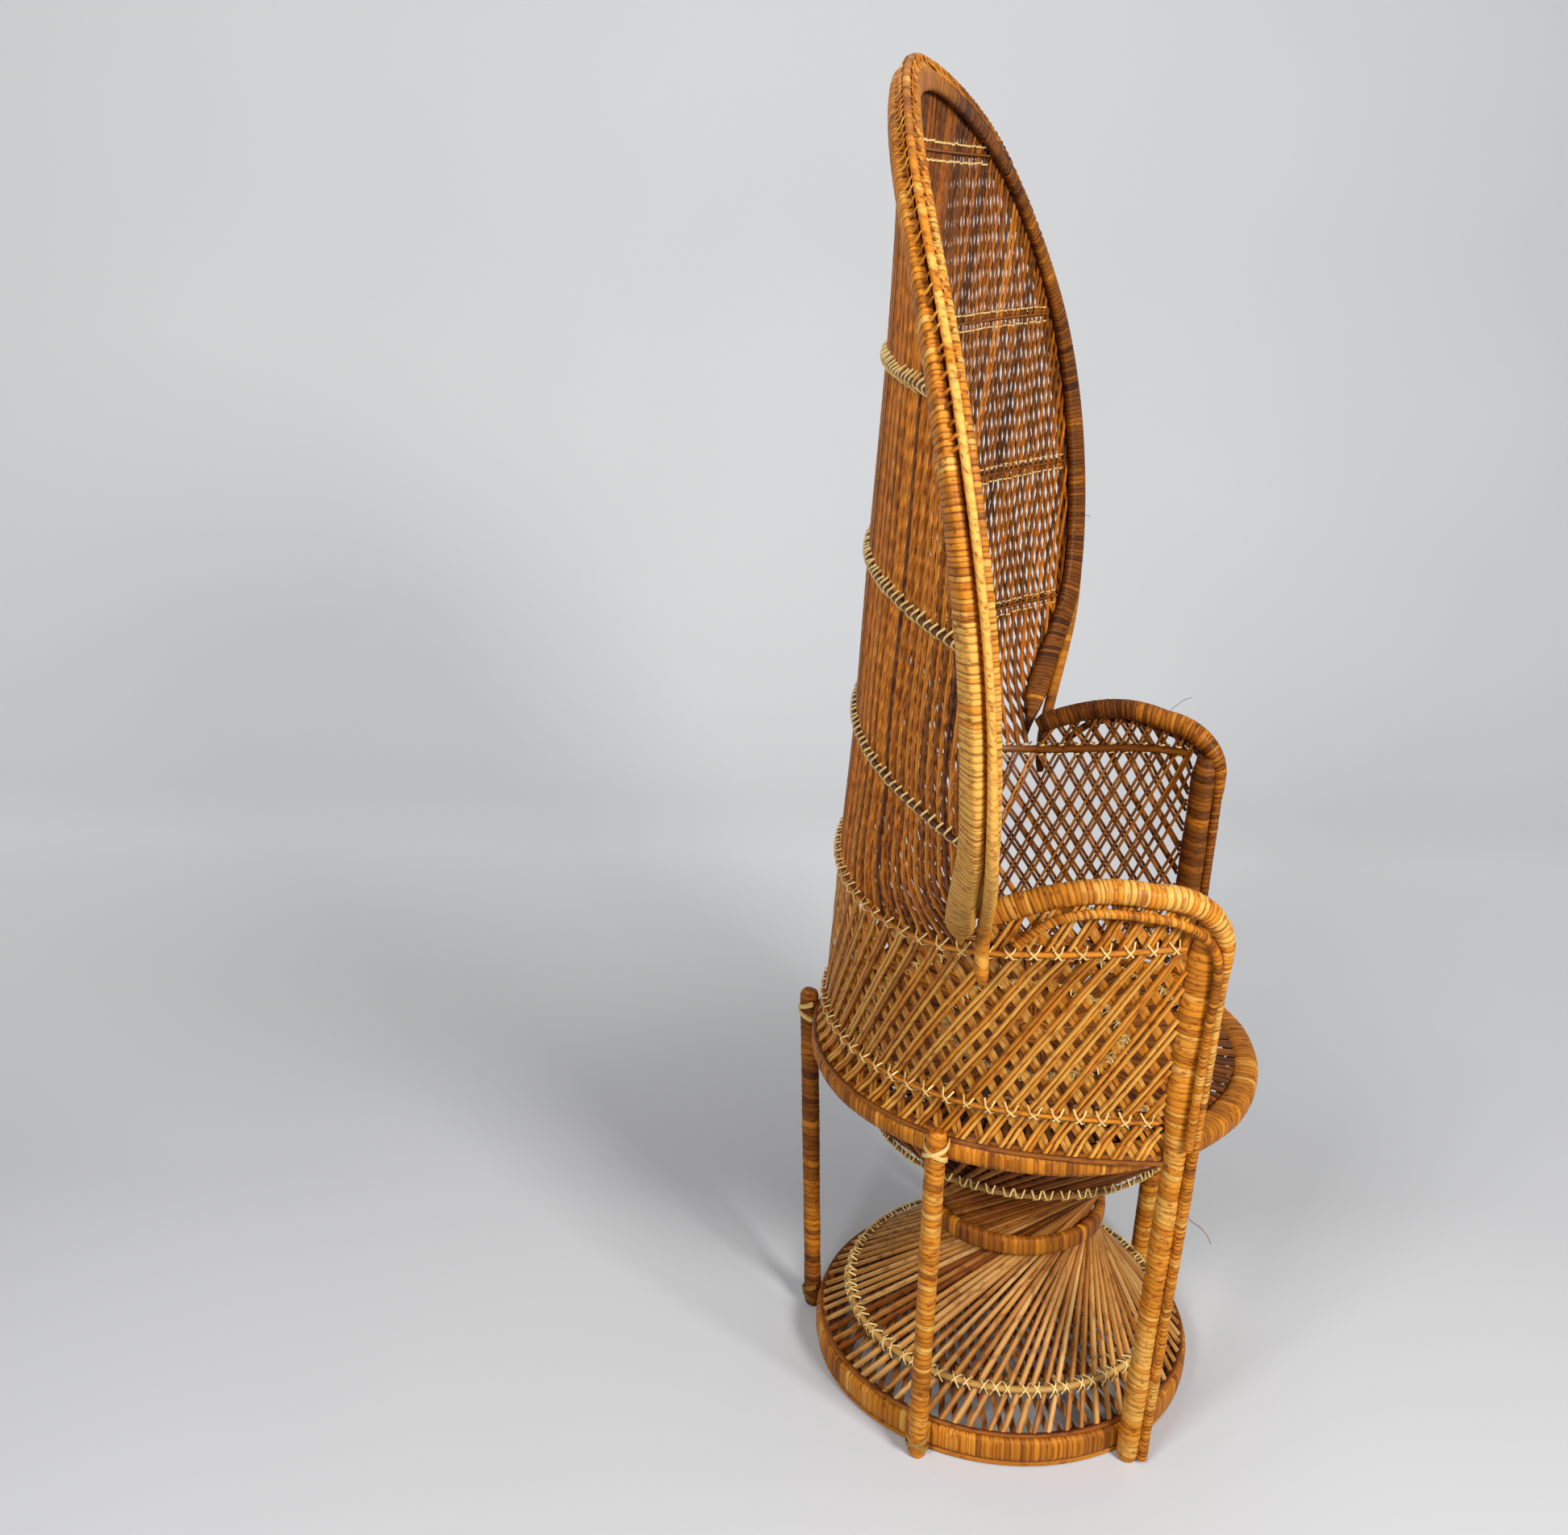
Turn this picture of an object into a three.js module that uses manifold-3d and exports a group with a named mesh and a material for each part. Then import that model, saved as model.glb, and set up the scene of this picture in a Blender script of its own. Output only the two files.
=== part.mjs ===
import * as THREE from 'three';
import { mergeVertices } from 'three/addons/utils/BufferGeometryUtils.js';
import Module from 'manifold-3d';

const wasm = await Module();
wasm.setup();

// A wicker peacock chair, in millimetres. It faces -Y, its left hand is +X, and it stands on z = 0.

// Fits
const CLEARANCE = 0.3;
const LAYER_GAP = 6.5;
const HOOP_END_GAP = 5;
const BEAD_GAP = 2.2;
const HOOD_FOOT_GAP = 3.15;

// Stand-off of each hoop from the bowed canes that it binds, outside and inside
const LOW_HOOP_GAPS = [1.9, 1.3];
const ARM_HOOP_GAPS = [2.4, 2.4];
const HOOD_HOOP_GAPS = [[1.5, 0.9], [1.3, 0.8], [1.2, 0.9], [0.8, 0.9]];

// Canes of the two-layer lattice
const CANE_WIDTH = 9;
const CANE_THICKNESS = 3;
const HOOP_HEIGHT = 10;
const HOOP_THICKNESS = 5;
const FRAME_WIDTH = 8;
const FRAME_THICKNESS = 4.4;

// Base
const FLOOR_HOOP_WIDTH = 10;
const FLOOR_HOOP_HEIGHT = 8;
const BASE_RADIUS = 221;
const BASE_RING_HEIGHT = 28;
const BASE_RING_WIDTH = 14;

// Seat: a bound rim, a little wider than deep, set forward of the base
const SEAT_HEIGHT = 430;
const SEAT_HALF_WIDTH = 256;
const SEAT_HALF_DEPTH = 247;
const SEAT_FORWARD = 10;
const SEAT_RIM_HEIGHT = 36;
const SEAT_RIM_WIDTH = 30;
const SEAT_BOSS_RADIUS = 32;
const SEAT_CANES = 24;
const SEAT_CANE_WIDTH = 6.3;
const SEAT_HOOP_INSET = 24;
const SEAT_INNER_HOOP_INSET = 112;
const BEARER_DIAMETER = 12;

// Pedestal: straight canes that sweep round from the base to the seat and so draw in to a waist
const PEDESTAL_CANES = 26;
const PEDESTAL_CANE_SIZE = 4.5;
const WAIST_RADIUS = 84;
const WAIST_LAYER_STEP = 10;
const PEDESTAL_HEAD_STEP = 16;
const PEDESTAL_LOW_HOOP = 72;
const PEDESTAL_HIGH_HOOP = 322;
const PEDESTAL_LOW_HOOP_SEATS = [3.8, 3.3];
const PEDESTAL_HIGH_HOOP_SEAT = 4.5;
const WAIST_RING_HEIGHT = 22;
const WAIST_RING_WIDTH = 12;

// Legs, placed by their angles from the front, at the base ring and at the seat rim
const LEG_DIAMETER = 25;
const LEG_STUB = 6;
const LEG_HEAD_TAPER = 8;
const LEG_SHARES = { foot: 0.86, joint: 1, middle: 0.92, head: 0.8 };
const LASHING_HEIGHT = 14;
const LASHING_THICKNESS = 2.5;
const LASHING_GAP = 1.6;
const LASHING_TURN = 36;
const FRONT_LEG_FOOT_ANGLE = 46;
const FRONT_LEG_SEAT_ANGLE = 52;
const REAR_LEG_ANGLE = 106;
const BACK_LEG_ANGLE = 180;

// Arms, measured up from the seat
const ARM_RAIL_DIAMETER = 24;
const ARM_ROD_DIAMETER = 11;
const ARM_BEAD_DIAMETER = 9;
const BEAD_BEND_START = 0.75;
const BEAD_WALL_TURN = 52;
const BEAD_DROP = 10;
const ARM_HEIGHT_BACK = 252;
const ARM_RISE = 38;
const ARM_CREST = [0.06, 0.84];
const RAIL_START = 0.05;
const RAIL_BEND_START = 0.78;
const RAIL_BEND_DROP = 60;
const RAIL_SLIMS = [30, 120];
const RAIL_TAPER_DROP = 32;
const POST_DROP = 6;
const EDGE_ROD_TAIL = 24;

// Back: half the width, and how far its edges and its spine lie behind the base, at hoops above the seat
const WALL_LOW_HOOP = 35;
const WALL_MIDDLE = 130;
const LOW_HOOP_FLARE = 4;
const ARM_HOOP = 224;
const HOOD_HOOPS = [386, 554, 734, 908];
const HOOD_TOP = 985;
const MIDDLE_HALF_WIDTH = 262;
const MIDDLE_EDGE = 15;
const MIDDLE_SPINE = 213;
const ARM_HOOP_HALF_WIDTH = 293;
const ARM_HOOP_EDGE = 25;
const ARM_HOOP_SPINE = 207;
const HOOD_HALF_WIDTHS = [472, 503, 481, 335];
const HOOD_EDGES = [8, 19, 56, 122];
const HOOD_SPINES = [195, 186, 174, 167];
const HOOD_TOP_BACK = 168;
const WALL_CANES = 18;
const WALL_LEAN = 0.9;
const HOOD_CANES = 18;
const HOOD_LEAN = 0.3;
const SHORTEST_CANE = 45;

// Rim of the hood
const EDGE_ROD_DIAMETER = 9;
const ROLL_WIDTH = 27;
const ROLL_THICKNESS = 10;
const ROLL_FOOT = 30;

// How finely round things are cut into flats
const EDGE_EASE = 0.28;
const RING_FACETS = 30;
const TUBE_FACETS = 8;
const ROD_FACETS = 6;
const HOOP_STEPS = 14;
const OUTLINE_STEPS = 24;
const SEARCH_STEPS = 40;
const CLIMB = 4;
const CANE_SAG = 5;
const WELD = 0.02;
const RIM_SAG = 2;
const RAIL_SAG = 1.5;

const peel = new THREE.MeshStandardMaterial({ color: 0xb87a35, roughness: 0.5, metalness: 0 });
const cane = new THREE.MeshStandardMaterial({ color: 0xa9682c, roughness: 0.55, metalness: 0 });
const binding = new THREE.MeshStandardMaterial({ color: 0xcfa763, roughness: 0.6, metalness: 0 });
const pole = new THREE.MeshStandardMaterial({ color: 0x9a622b, roughness: 0.5, metalness: 0 });

const chair = new THREE.Group();
const frame = new THREE.Group();
chair.add(frame);
const radians = THREE.MathUtils.degToRad;
const point = (x, y, z) => new THREE.Vector3(x, y, z);

function addPiece(name, geometry, material) {
  const mesh = new THREE.Mesh(geometry, material);
  mesh.name = name;
  frame.add(mesh);
}

// Surface through a row of sections, closed by its two end sections or by running round to the first
function loft(sections, runsRound = false) {
  const size = sections[0].length;
  const positions = sections.flat().flatMap((p) => p.toArray());
  const index = [];
  const count = runsRound ? sections.length : sections.length - 1;
  for (let i = 0; i < count; i++) {
    const here = i * size;
    const next = ((i + 1) % sections.length) * size;
    for (let j = 0; j < size; j++) {
      const k = (j + 1) % size;
      index.push(here + j, here + k, next + k, here + j, next + k, next + j);
    }
  }
  const last = (sections.length - 1) * size;
  for (let j = 1; j < size - 1 && !runsRound; j++) {
    index.push(0, j + 1, j, last, last + j, last + j + 1);
  }
  const geometry = new THREE.BufferGeometry();
  geometry.setAttribute('position', new THREE.Float32BufferAttribute(positions, 3));
  geometry.setIndex(signedVolume(positions, index) < 0 ? index.reverse() : index);
  geometry.computeVertexNormals();
  return geometry;
}

// Value between two where a test that holds at the low end stops holding
function search(holds, low, high) {
  let from = low;
  let to = high;
  for (let i = 0; i < SEARCH_STEPS; i++) {
    const middle = (from + to) / 2;
    if (holds(middle)) from = middle;
    else to = middle;
  }
  return from;
}

function signedVolume(positions, index) {
  const corner = (i) => new THREE.Vector3().fromArray(positions, 3 * index[i]);
  let volume = 0;
  for (let i = 0; i < index.length; i += 3) {
    volume += corner(i).dot(corner(i + 1).cross(corner(i + 2)));
  }
  return volume;
}

function toSolid(geometry) {
  const bare = geometry.clone();
  bare.deleteAttribute('normal');
  const merged = mergeVertices(bare, 1e-3);
  return new wasm.Manifold(new wasm.Mesh({
    numProp: 3,
    vertProperties: merged.attributes.position.array,
    triVerts: new Uint32Array(merged.index.array),
  }));
}

// Canes tied to the binding that carries them, as one body whose slivers are closed up
function fuse(geometries) {
  const joined = geometries.map(toSolid).reduce((whole, next) => whole.add(next));
  const mesh = joined.getMesh();
  const geometry = new THREE.BufferGeometry();
  geometry.setAttribute('position', new THREE.Float32BufferAttribute(mesh.vertProperties, 3));
  geometry.setIndex(Array.from(mesh.triVerts));
  const welded = mergeVertices(geometry, WELD);
  const corners = welded.index.array;
  const kept = [];
  for (let i = 0; i < corners.length; i += 3) {
    const [a, b, c] = corners.slice(i, i + 3);
    if (a !== b && b !== c && c !== a) kept.push(a, b, c);
  }
  welded.setIndex(kept);
  welded.computeVertexNormals();
  return welded;
}

// Ring round the chair's axis from a profile of offsets and heights, on a circle or an ellipse
function ring(halfWidth, halfDepth, back, profile, facets = RING_FACETS) {
  const sections = [];
  for (let i = 0; i < facets; i++) {
    const turn = (2 * Math.PI * i) / facets;
    sections.push(profile.map(([out, z]) => point(
      (halfWidth + out) * Math.cos(turn),
      back + (halfDepth + out) * Math.sin(turn),
      z,
    )));
  }
  return loft(sections, true);
}

// Oblong profile with its outer edges eased, from its outside face inward, standing on a height
function easedProfile(width, bottom, height) {
  const ease = Math.min(width, height) * EDGE_EASE;
  const top = bottom + height;
  return [
    [0, bottom + ease], [0, top - ease], [-ease, top], [-width, top], [-width, bottom], [-ease, bottom],
  ];
}

function squareProfile(width, bottom, height) {
  return [[0, bottom], [0, bottom + height], [-width, bottom + height], [-width, bottom]];
}

// Round tube along points, with a radius at each
function tube(points, radii, sides = TUBE_FACETS) {
  const tangents = tangentsOf(points);
  let normal = point(0, 0, 1);
  if (Math.abs(tangents[0].z) > 0.9) normal = point(1, 0, 0);
  const sections = points.map((p, i) => {
    normal = normal.clone().addScaledVector(tangents[i], -normal.dot(tangents[i])).normalize();
    const across = tangents[i].clone().cross(normal);
    return Array.from({ length: sides }, (_, j) => {
      const turn = (2 * Math.PI * (j + 0.5)) / sides;
      return p.clone()
        .addScaledVector(normal, radii[i] * Math.cos(turn))
        .addScaledVector(across, radii[i] * Math.sin(turn));
    });
  });
  return loft(sections);
}

function tangentsOf(points) {
  return points.map((p, i) => {
    const before = points[Math.max(i - 1, 0)];
    const after = points[Math.min(i + 1, points.length - 1)];
    return after.clone().sub(before).normalize();
  });
}

// Flat bar along points, lying square to the normal given at each, moved along it by an offset
function bar(stations, width, thickness, offset) {
  const points = stations.map((s) => s.at.clone().addScaledVector(s.normal, offset));
  const tangents = tangentsOf(points);
  return loft(points.map((p, i) => {
    const across = stations[i].normal.clone().cross(tangents[i]).normalize();
    const up = tangents[i].clone().cross(across).normalize();
    return [[-1, -1], [1, -1], [1, 1], [-1, 1]].map(([a, b]) => p.clone()
      .addScaledVector(across, (a * width) / 2)
      .addScaledVector(up, (b * thickness) / 2));
  }));
}

const mirrored = (points) => points.map((p) => point(-p.x, p.y, p.z));

// Heights and fits that follow from the driving dimensions
const baseRingBottom = FLOOR_HOOP_HEIGHT + CLEARANCE;
const baseRingTop = baseRingBottom + BASE_RING_HEIGHT;
const seatRimBottom = SEAT_HEIGHT - SEAT_RIM_HEIGHT;
const seatInnerHalfWidth = SEAT_HALF_WIDTH - SEAT_RIM_WIDTH;
const seatInnerHalfDepth = SEAT_HALF_DEPTH - SEAT_RIM_WIDTH;
const caneOffset = (CANE_THICKNESS + LAYER_GAP) / 2;
const caneFace = caneOffset + CANE_THICKNESS / 2;
const armHoop = SEAT_HEIGHT + ARM_HOOP;
const legRadius = LEG_DIAMETER / 2;
const legFlat = legRadius * Math.cos(Math.PI / TUBE_FACETS);
const railRadius = ARM_RAIL_DIAMETER / 2;

function buildBase() {
  const middle = BASE_RADIUS - BASE_RING_WIDTH / 2 + FLOOR_HOOP_WIDTH / 2;
  const floorHoop = squareProfile(FLOOR_HOOP_WIDTH, 0, FLOOR_HOOP_HEIGHT);
  addPiece('base_floor_hoop', ring(middle, middle, 0, floorHoop), cane);
  const baseRing = easedProfile(BASE_RING_WIDTH, baseRingBottom, BASE_RING_HEIGHT);
  addPiece('base_ring', ring(BASE_RADIUS, BASE_RADIUS, 0, baseRing), peel);
}

// Pedestal: the outer canes stand on the base ring and the inner canes inside it
const pedestalFootHoop = BASE_RING_WIDTH / 2 - CLEARANCE;
const baseRingInside = (BASE_RADIUS - BASE_RING_WIDTH) * Math.cos(Math.PI / RING_FACETS);
const pedestalLayers = {
  outer: {
    foot: point(BASE_RADIUS - BASE_RING_WIDTH / 2, 0, baseRingTop + CLEARANCE + pedestalFootHoop / 2),
    head: point(SEAT_HALF_DEPTH - (SEAT_RIM_WIDTH - PEDESTAL_HEAD_STEP) / 2, 0, pedestalHead()),
    waist: WAIST_RADIUS + WAIST_LAYER_STEP / 2,
    direction: 1,
  },
  inner: {
    foot: point(baseRingInside - CLEARANCE - pedestalFootHoop / 2, 0, baseRingTop - pedestalFootHoop),
    head: point(SEAT_HALF_DEPTH - (SEAT_RIM_WIDTH + PEDESTAL_HEAD_STEP) / 2, 0, pedestalHead()),
    waist: WAIST_RADIUS - WAIST_LAYER_STEP / 2,
    direction: -1,
  },
};

function pedestalHead() {
  return seatRimBottom - CLEARANCE - PEDESTAL_CANE_SIZE / 2;
}

// How far straight canes must sweep round from foot to head to draw in to their waist
function pedestalSweep({ foot, head, waist }) {
  const isWide = (sweep) => {
    const chord = Math.sqrt(foot.x ** 2 + head.x ** 2 - 2 * foot.x * head.x * Math.cos(sweep));
    return foot.x * head.x * Math.sin(sweep) > waist * chord;
  };
  return search(isWide, Math.PI / 2, Math.PI);
}

// Radius of a layer at a height, which follows from the chord between foot and head
function pedestalRadius(layer, z) {
  const t = (z - layer.foot.z) / (layer.head.z - layer.foot.z);
  const low = layer.foot.x * (1 - t);
  const high = layer.head.x * t;
  return Math.sqrt(low * low + high * high + 2 * low * high * Math.cos(pedestalSweep(layer)));
}

// How far a layer has moved back at a height: its heads stand under the seat, which is set forward
function pedestalBack(layer, z) {
  return (-SEAT_FORWARD * (z - layer.foot.z)) / (layer.head.z - layer.foot.z);
}

function pedestalNormal(layer, z) {
  const slope = pedestalRadius(layer, z + 0.5) - pedestalRadius(layer, z - 0.5);
  return new THREE.Vector2(1, -slope).normalize();
}

// Straight canes of a layer, bound together at their feet by a thin hoop
function pedestalCanes(layer) {
  const sweep = layer.direction * pedestalSweep(layer);
  const canes = [];
  for (let i = 0; i < PEDESTAL_CANES; i++) {
    const start = (2 * Math.PI * (i + 0.5)) / PEDESTAL_CANES;
    const foot = layer.foot.clone().applyAxisAngle(point(0, 0, 1), start);
    const head = layer.head.clone().applyAxisAngle(point(0, 0, 1), start + sweep);
    head.y -= SEAT_FORWARD;
    const normal = foot.clone().lerp(head, 0.5).setZ(0).normalize();
    const ends = [foot, head].map((at) => ({ at, normal }));
    canes.push(bar(ends, PEDESTAL_CANE_SIZE, PEDESTAL_CANE_SIZE, 0));
  }
  const footProfile = squareProfile(pedestalFootHoop, layer.foot.z - pedestalFootHoop / 2, pedestalFootHoop);
  const footRadius = layer.foot.x + pedestalFootHoop / 2;
  return fuse([ring(footRadius, footRadius, 0, footProfile, PEDESTAL_CANES), ...canes]);
}

// Hoop round a layer that lies along its slope, on its outer or inner side, a seat away from its middle
function pedestalHoop(layer, z, near) {
  const normal = pedestalNormal(layer, z);
  const half = HOOP_HEIGHT / 2;
  const radius = pedestalRadius(layer, z);
  const corner = (along, out) => [
    normal.x * layer.direction * out - normal.y * along,
    z + normal.y * layer.direction * out + normal.x * along,
  ];
  const far = near + HOOP_THICKNESS;
  const profile = [corner(-half, near), corner(half, near), corner(half, far), corner(-half, far)];
  return ring(radius, radius, pedestalBack(layer, z), profile, PEDESTAL_CANES);
}

function buildPedestal() {
  const { outer, inner } = pedestalLayers;
  const [outerSeat, innerSeat] = PEDESTAL_LOW_HOOP_SEATS;
  addPiece('pedestal_outer_canes', pedestalCanes(outer), cane);
  addPiece('pedestal_inner_canes', pedestalCanes(inner), cane);
  addPiece('pedestal_low_hoop_outer', pedestalHoop(outer, PEDESTAL_LOW_HOOP, outerSeat), binding);
  addPiece('pedestal_low_hoop_inner', pedestalHoop(inner, PEDESTAL_LOW_HOOP, innerSeat), binding);
  addPiece('pedestal_high_hoop', pedestalHoop(outer, PEDESTAL_HIGH_HOOP, PEDESTAL_HIGH_HOOP_SEAT), binding);
  const waist = waistHeight(outer);
  const widest = pedestalRadius(outer, waist + WAIST_RING_HEIGHT / 2);
  const rest = widest + PEDESTAL_CANE_SIZE * Math.SQRT1_2 + CLEARANCE;
  const waistRadius = rest / Math.cos(Math.PI / RING_FACETS) + WAIST_RING_WIDTH;
  const waistProfile = easedProfile(WAIST_RING_WIDTH, waist - WAIST_RING_HEIGHT / 2, WAIST_RING_HEIGHT);
  addPiece('waist_ring', ring(waistRadius, waistRadius, pedestalBack(outer, waist), waistProfile), peel);
}

function waistHeight(layer) {
  const bend = layer.foot.x * layer.head.x * Math.cos(pedestalSweep(layer));
  const t = (layer.foot.x ** 2 - bend) / (layer.foot.x ** 2 + layer.head.x ** 2 - 2 * bend);
  return THREE.MathUtils.lerp(layer.foot.z, layer.head.z, t);
}

function buildSeat() {
  const rim = easedProfile(SEAT_RIM_WIDTH, seatRimBottom, SEAT_RIM_HEIGHT);
  addPiece('seat_rim', ring(SEAT_HALF_WIDTH, SEAT_HALF_DEPTH, -SEAT_FORWARD, rim), peel);

  // Two crossed poles carry the seat canes, one lying on the other
  const bearerRadius = BEARER_DIAMETER / 2;
  const lowBearer = seatRimBottom + bearerRadius + CLEARANCE;
  const highBearer = lowBearer + BEARER_DIAMETER + CLEARANCE;
  const flat = seatInnerHalfWidth * (1 - Math.cos(Math.PI / RING_FACETS));
  const foreAft = seatInnerHalfDepth - CLEARANCE - bearerRadius ** 2 / seatInnerHalfDepth;
  const sideways = seatInnerHalfWidth - CLEARANCE - bearerRadius ** 2 / seatInnerHalfWidth - flat;
  const foreAftEnds = [-1, 1].map((end) => point(0, end * (foreAft - flat) - SEAT_FORWARD, lowBearer));
  const sidewaysEnds = [-1, 1].map((end) => point(end * sideways, -SEAT_FORWARD, highBearer));
  addPiece('seat_bearer_fore_aft', tube(foreAftEnds, [bearerRadius, bearerRadius]), pole);
  addPiece('seat_bearer_side', tube(sidewaysEnds, [bearerRadius, bearerRadius]), pole);

  const canesBottom = highBearer + bearerRadius + CLEARANCE;
  const canesMiddle = canesBottom + CANE_THICKNESS / 2;
  const canesTop = canesBottom + CANE_THICKNESS;
  const boss = new THREE.CylinderGeometry(SEAT_BOSS_RADIUS, SEAT_BOSS_RADIUS, CANE_THICKNESS, SEAT_CANES / 2);
  boss.deleteAttribute('uv');
  boss.rotateX(Math.PI / 2).translate(0, -SEAT_FORWARD, canesMiddle);
  const canes = [];
  const up = point(0, 0, 1);
  for (let i = 0; i < SEAT_CANES; i++) {
    const turn = (2 * Math.PI * (i + 0.5)) / SEAT_CANES;
    const along = point(Math.cos(turn), Math.sin(turn), 0);
    const rimReach = 1 / Math.hypot(along.x / seatInnerHalfWidth, along.y / seatInnerHalfDepth);
    const ends = [SEAT_BOSS_RADIUS - SEAT_CANE_WIDTH, rimReach - flat - 3 * CLEARANCE].map((r) => ({
      at: along.clone().multiplyScalar(r).add(point(0, -SEAT_FORWARD, canesMiddle)),
      normal: up,
    }));
    canes.push(bar(ends, SEAT_CANE_WIDTH, CANE_THICKNESS, 0));
  }
  addPiece('seat_canes', fuse([boss, ...canes]), cane);
  const hoopBottom = canesTop + CLEARANCE;
  const hoops = [['seat_outer_hoop', SEAT_HOOP_INSET], ['seat_inner_hoop', SEAT_INNER_HOOP_INSET]];
  hoops.forEach(([name, inset]) => {
    const profile = squareProfile(HOOP_HEIGHT, hoopBottom, HOOP_THICKNESS);
    const halfWidth = seatInnerHalfWidth - inset;
    const halfDepth = seatInnerHalfDepth - inset;
    addPiece(name, ring(halfWidth, halfDepth, -SEAT_FORWARD, profile), binding);
  });
}

// Point on the flats of a ring, at a turn round it
function ringFace(halfWidth, halfDepth, back, turn) {
  const step = (2 * Math.PI) / RING_FACETS;
  const corner = (i) => point(halfWidth * Math.cos(i * step), back + halfDepth * Math.sin(i * step), 0);
  const whole = Math.floor(turn / step);
  return corner(whole).lerp(corner(whole + 1), turn / step - whole);
}

// Straight axis of a leg that leans against the base ring at its foot and the seat rim at its head
function legAxis(footAngle, seatAngle, side) {
  const toTurn = (angle) => Math.atan2(-Math.cos(radians(angle)), side * Math.sin(radians(angle)));
  const outward = (turn) => point(Math.cos(turn), Math.sin(turn), 0);
  const footTurn = toTurn(footAngle);
  const headTurn = toTurn(seatAngle);
  const low = ringFace(BASE_RADIUS, BASE_RADIUS, 0, footTurn);
  const high = ringFace(SEAT_HALF_WIDTH, SEAT_HALF_DEPTH, -SEAT_FORWARD, headTurn);
  const lowZ = baseRingTop - BASE_RING_HEIGHT / 2;
  const highZ = SEAT_HEIGHT - SEAT_RIM_HEIGHT / 2;
  const slope = (high.length() - low.length()) / (highZ - lowZ);
  const reach = legFlat + 2 * CLEARANCE + (Math.abs(slope) * SEAT_RIM_HEIGHT) / 4;
  low.addScaledVector(outward(footTurn), reach);
  high.addScaledVector(outward(headTurn), reach);
  return (z) => low.clone().lerp(high, (z - lowZ) / (highZ - lowZ)).setZ(z);
}

// Pole that stands level on the floor, thickest where it meets the base ring and the seat rim, with a
// flat towards the chair
function legPole(axis, top) {
  const { foot, joint, middle, head } = LEG_SHARES;
  const between = (baseRingTop + seatRimBottom) / 2;
  const heights = [0, baseRingBottom, baseRingTop, between, seatRimBottom, top - LEG_HEAD_TAPER, top];
  const radii = [foot, joint, joint, middle, joint, joint, head].map((share) => share * legRadius);
  const facing = Math.atan2(axis(0).y, axis(0).x);
  const sections = heights.map((z, i) => {
    const centre = axis(z);
    return Array.from({ length: TUBE_FACETS }, (_, j) => {
      const turn = facing + (2 * Math.PI * (j + 0.5)) / TUBE_FACETS;
      return point(centre.x + radii[i] * Math.cos(turn), centre.y + radii[i] * Math.sin(turn), z);
    });
  });
  return loft(sections);
}

// Band of peel round the outer side of a leg, whose two ends lie on the ring behind the leg
function lashing(axis, z, ringCentre) {
  const centre = axis(z);
  const out = centre.clone().sub(ringCentre).setZ(0).normalize();
  const across = point(-out.y, out.x, 0);
  const reach = legRadius + LASHING_GAP + LASHING_THICKNESS / 2;
  const place = (inward, sideways) => centre.clone()
    .addScaledVector(out, inward)
    .addScaledVector(across, sideways);
  const points = [place(LASHING_GAP - legFlat, -reach)];
  for (let turn = -90; turn <= 90; turn += LASHING_TURN) {
    points.push(place(reach * Math.cos(radians(turn)), reach * Math.sin(radians(turn))));
  }
  points.push(place(LASHING_GAP - legFlat, reach));
  const middle = place(-legRadius / 2, 0);
  const stations = points.map((at) => ({ at, normal: at.clone().sub(middle).setZ(0).normalize() }));
  return bar(stations, LASHING_HEIGHT, LASHING_THICKNESS, 0);
}

const frontLegAxes = [-1, 1].map((side) => legAxis(FRONT_LEG_FOOT_ANGLE, FRONT_LEG_SEAT_ANGLE, side));

function buildLegs() {
  const stub = SEAT_HEIGHT + LEG_STUB;
  const rear = [
    ['back', legAxis(BACK_LEG_ANGLE, BACK_LEG_ANGLE, 1)],
    ['rear_right', legAxis(REAR_LEG_ANGLE, REAR_LEG_ANGLE, -1)],
    ['rear_left', legAxis(REAR_LEG_ANGLE, REAR_LEG_ANGLE, 1)],
  ];
  rear.forEach(([name, axis]) => {
    addPiece('leg_' + name, legPole(axis, stub), peel);
    const footLash = lashing(axis, baseRingTop - BASE_RING_HEIGHT / 2, point(0, 0, 0));
    const headLash = lashing(axis, SEAT_HEIGHT - SEAT_RIM_HEIGHT / 2, point(0, -SEAT_FORWARD, 0));
    addPiece('lashing_foot_' + name, footLash, binding);
    addPiece('lashing_seat_' + name, headLash, binding);
  });
  ['right', 'left'].forEach((name, i) => {
    addPiece('leg_front_' + name, legPole(frontLegAxes[i], postTop()), peel);
  });
}

// Form of the back: an edge line on each side, through the widest place of the wall, and a spine
const wallFoot = SEAT_HEIGHT + 2 * CLEARANCE + FRAME_WIDTH / 2;
const rimMiddleHalfWidth = SEAT_HALF_WIDTH - SEAT_RIM_WIDTH / 2;
const rimMiddleBack = SEAT_HALF_DEPTH - SEAT_RIM_WIDTH / 2 - SEAT_FORWARD;
const hoodHoops = HOOD_HOOPS.map((h) => SEAT_HEIGHT + h);
const hoodTop = SEAT_HEIGHT + HOOD_TOP;
const lowEdge = [
  point(rimMiddleHalfWidth, -SEAT_FORWARD, wallFoot),
  point(rimMiddleHalfWidth + LOW_HOOP_FLARE, LOW_HOOP_FLARE - SEAT_FORWARD, SEAT_HEIGHT + WALL_LOW_HOOP),
  point(MIDDLE_HALF_WIDTH, MIDDLE_EDGE, SEAT_HEIGHT + WALL_MIDDLE),
  point(ARM_HOOP_HALF_WIDTH, ARM_HOOP_EDGE, armHoop),
];
const highEdge = hoodHoops.map((z, i) => point(HOOD_HALF_WIDTHS[i], HOOD_EDGES[i], z));
const leftEdge = [...lowEdge, ...highEdge];
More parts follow.
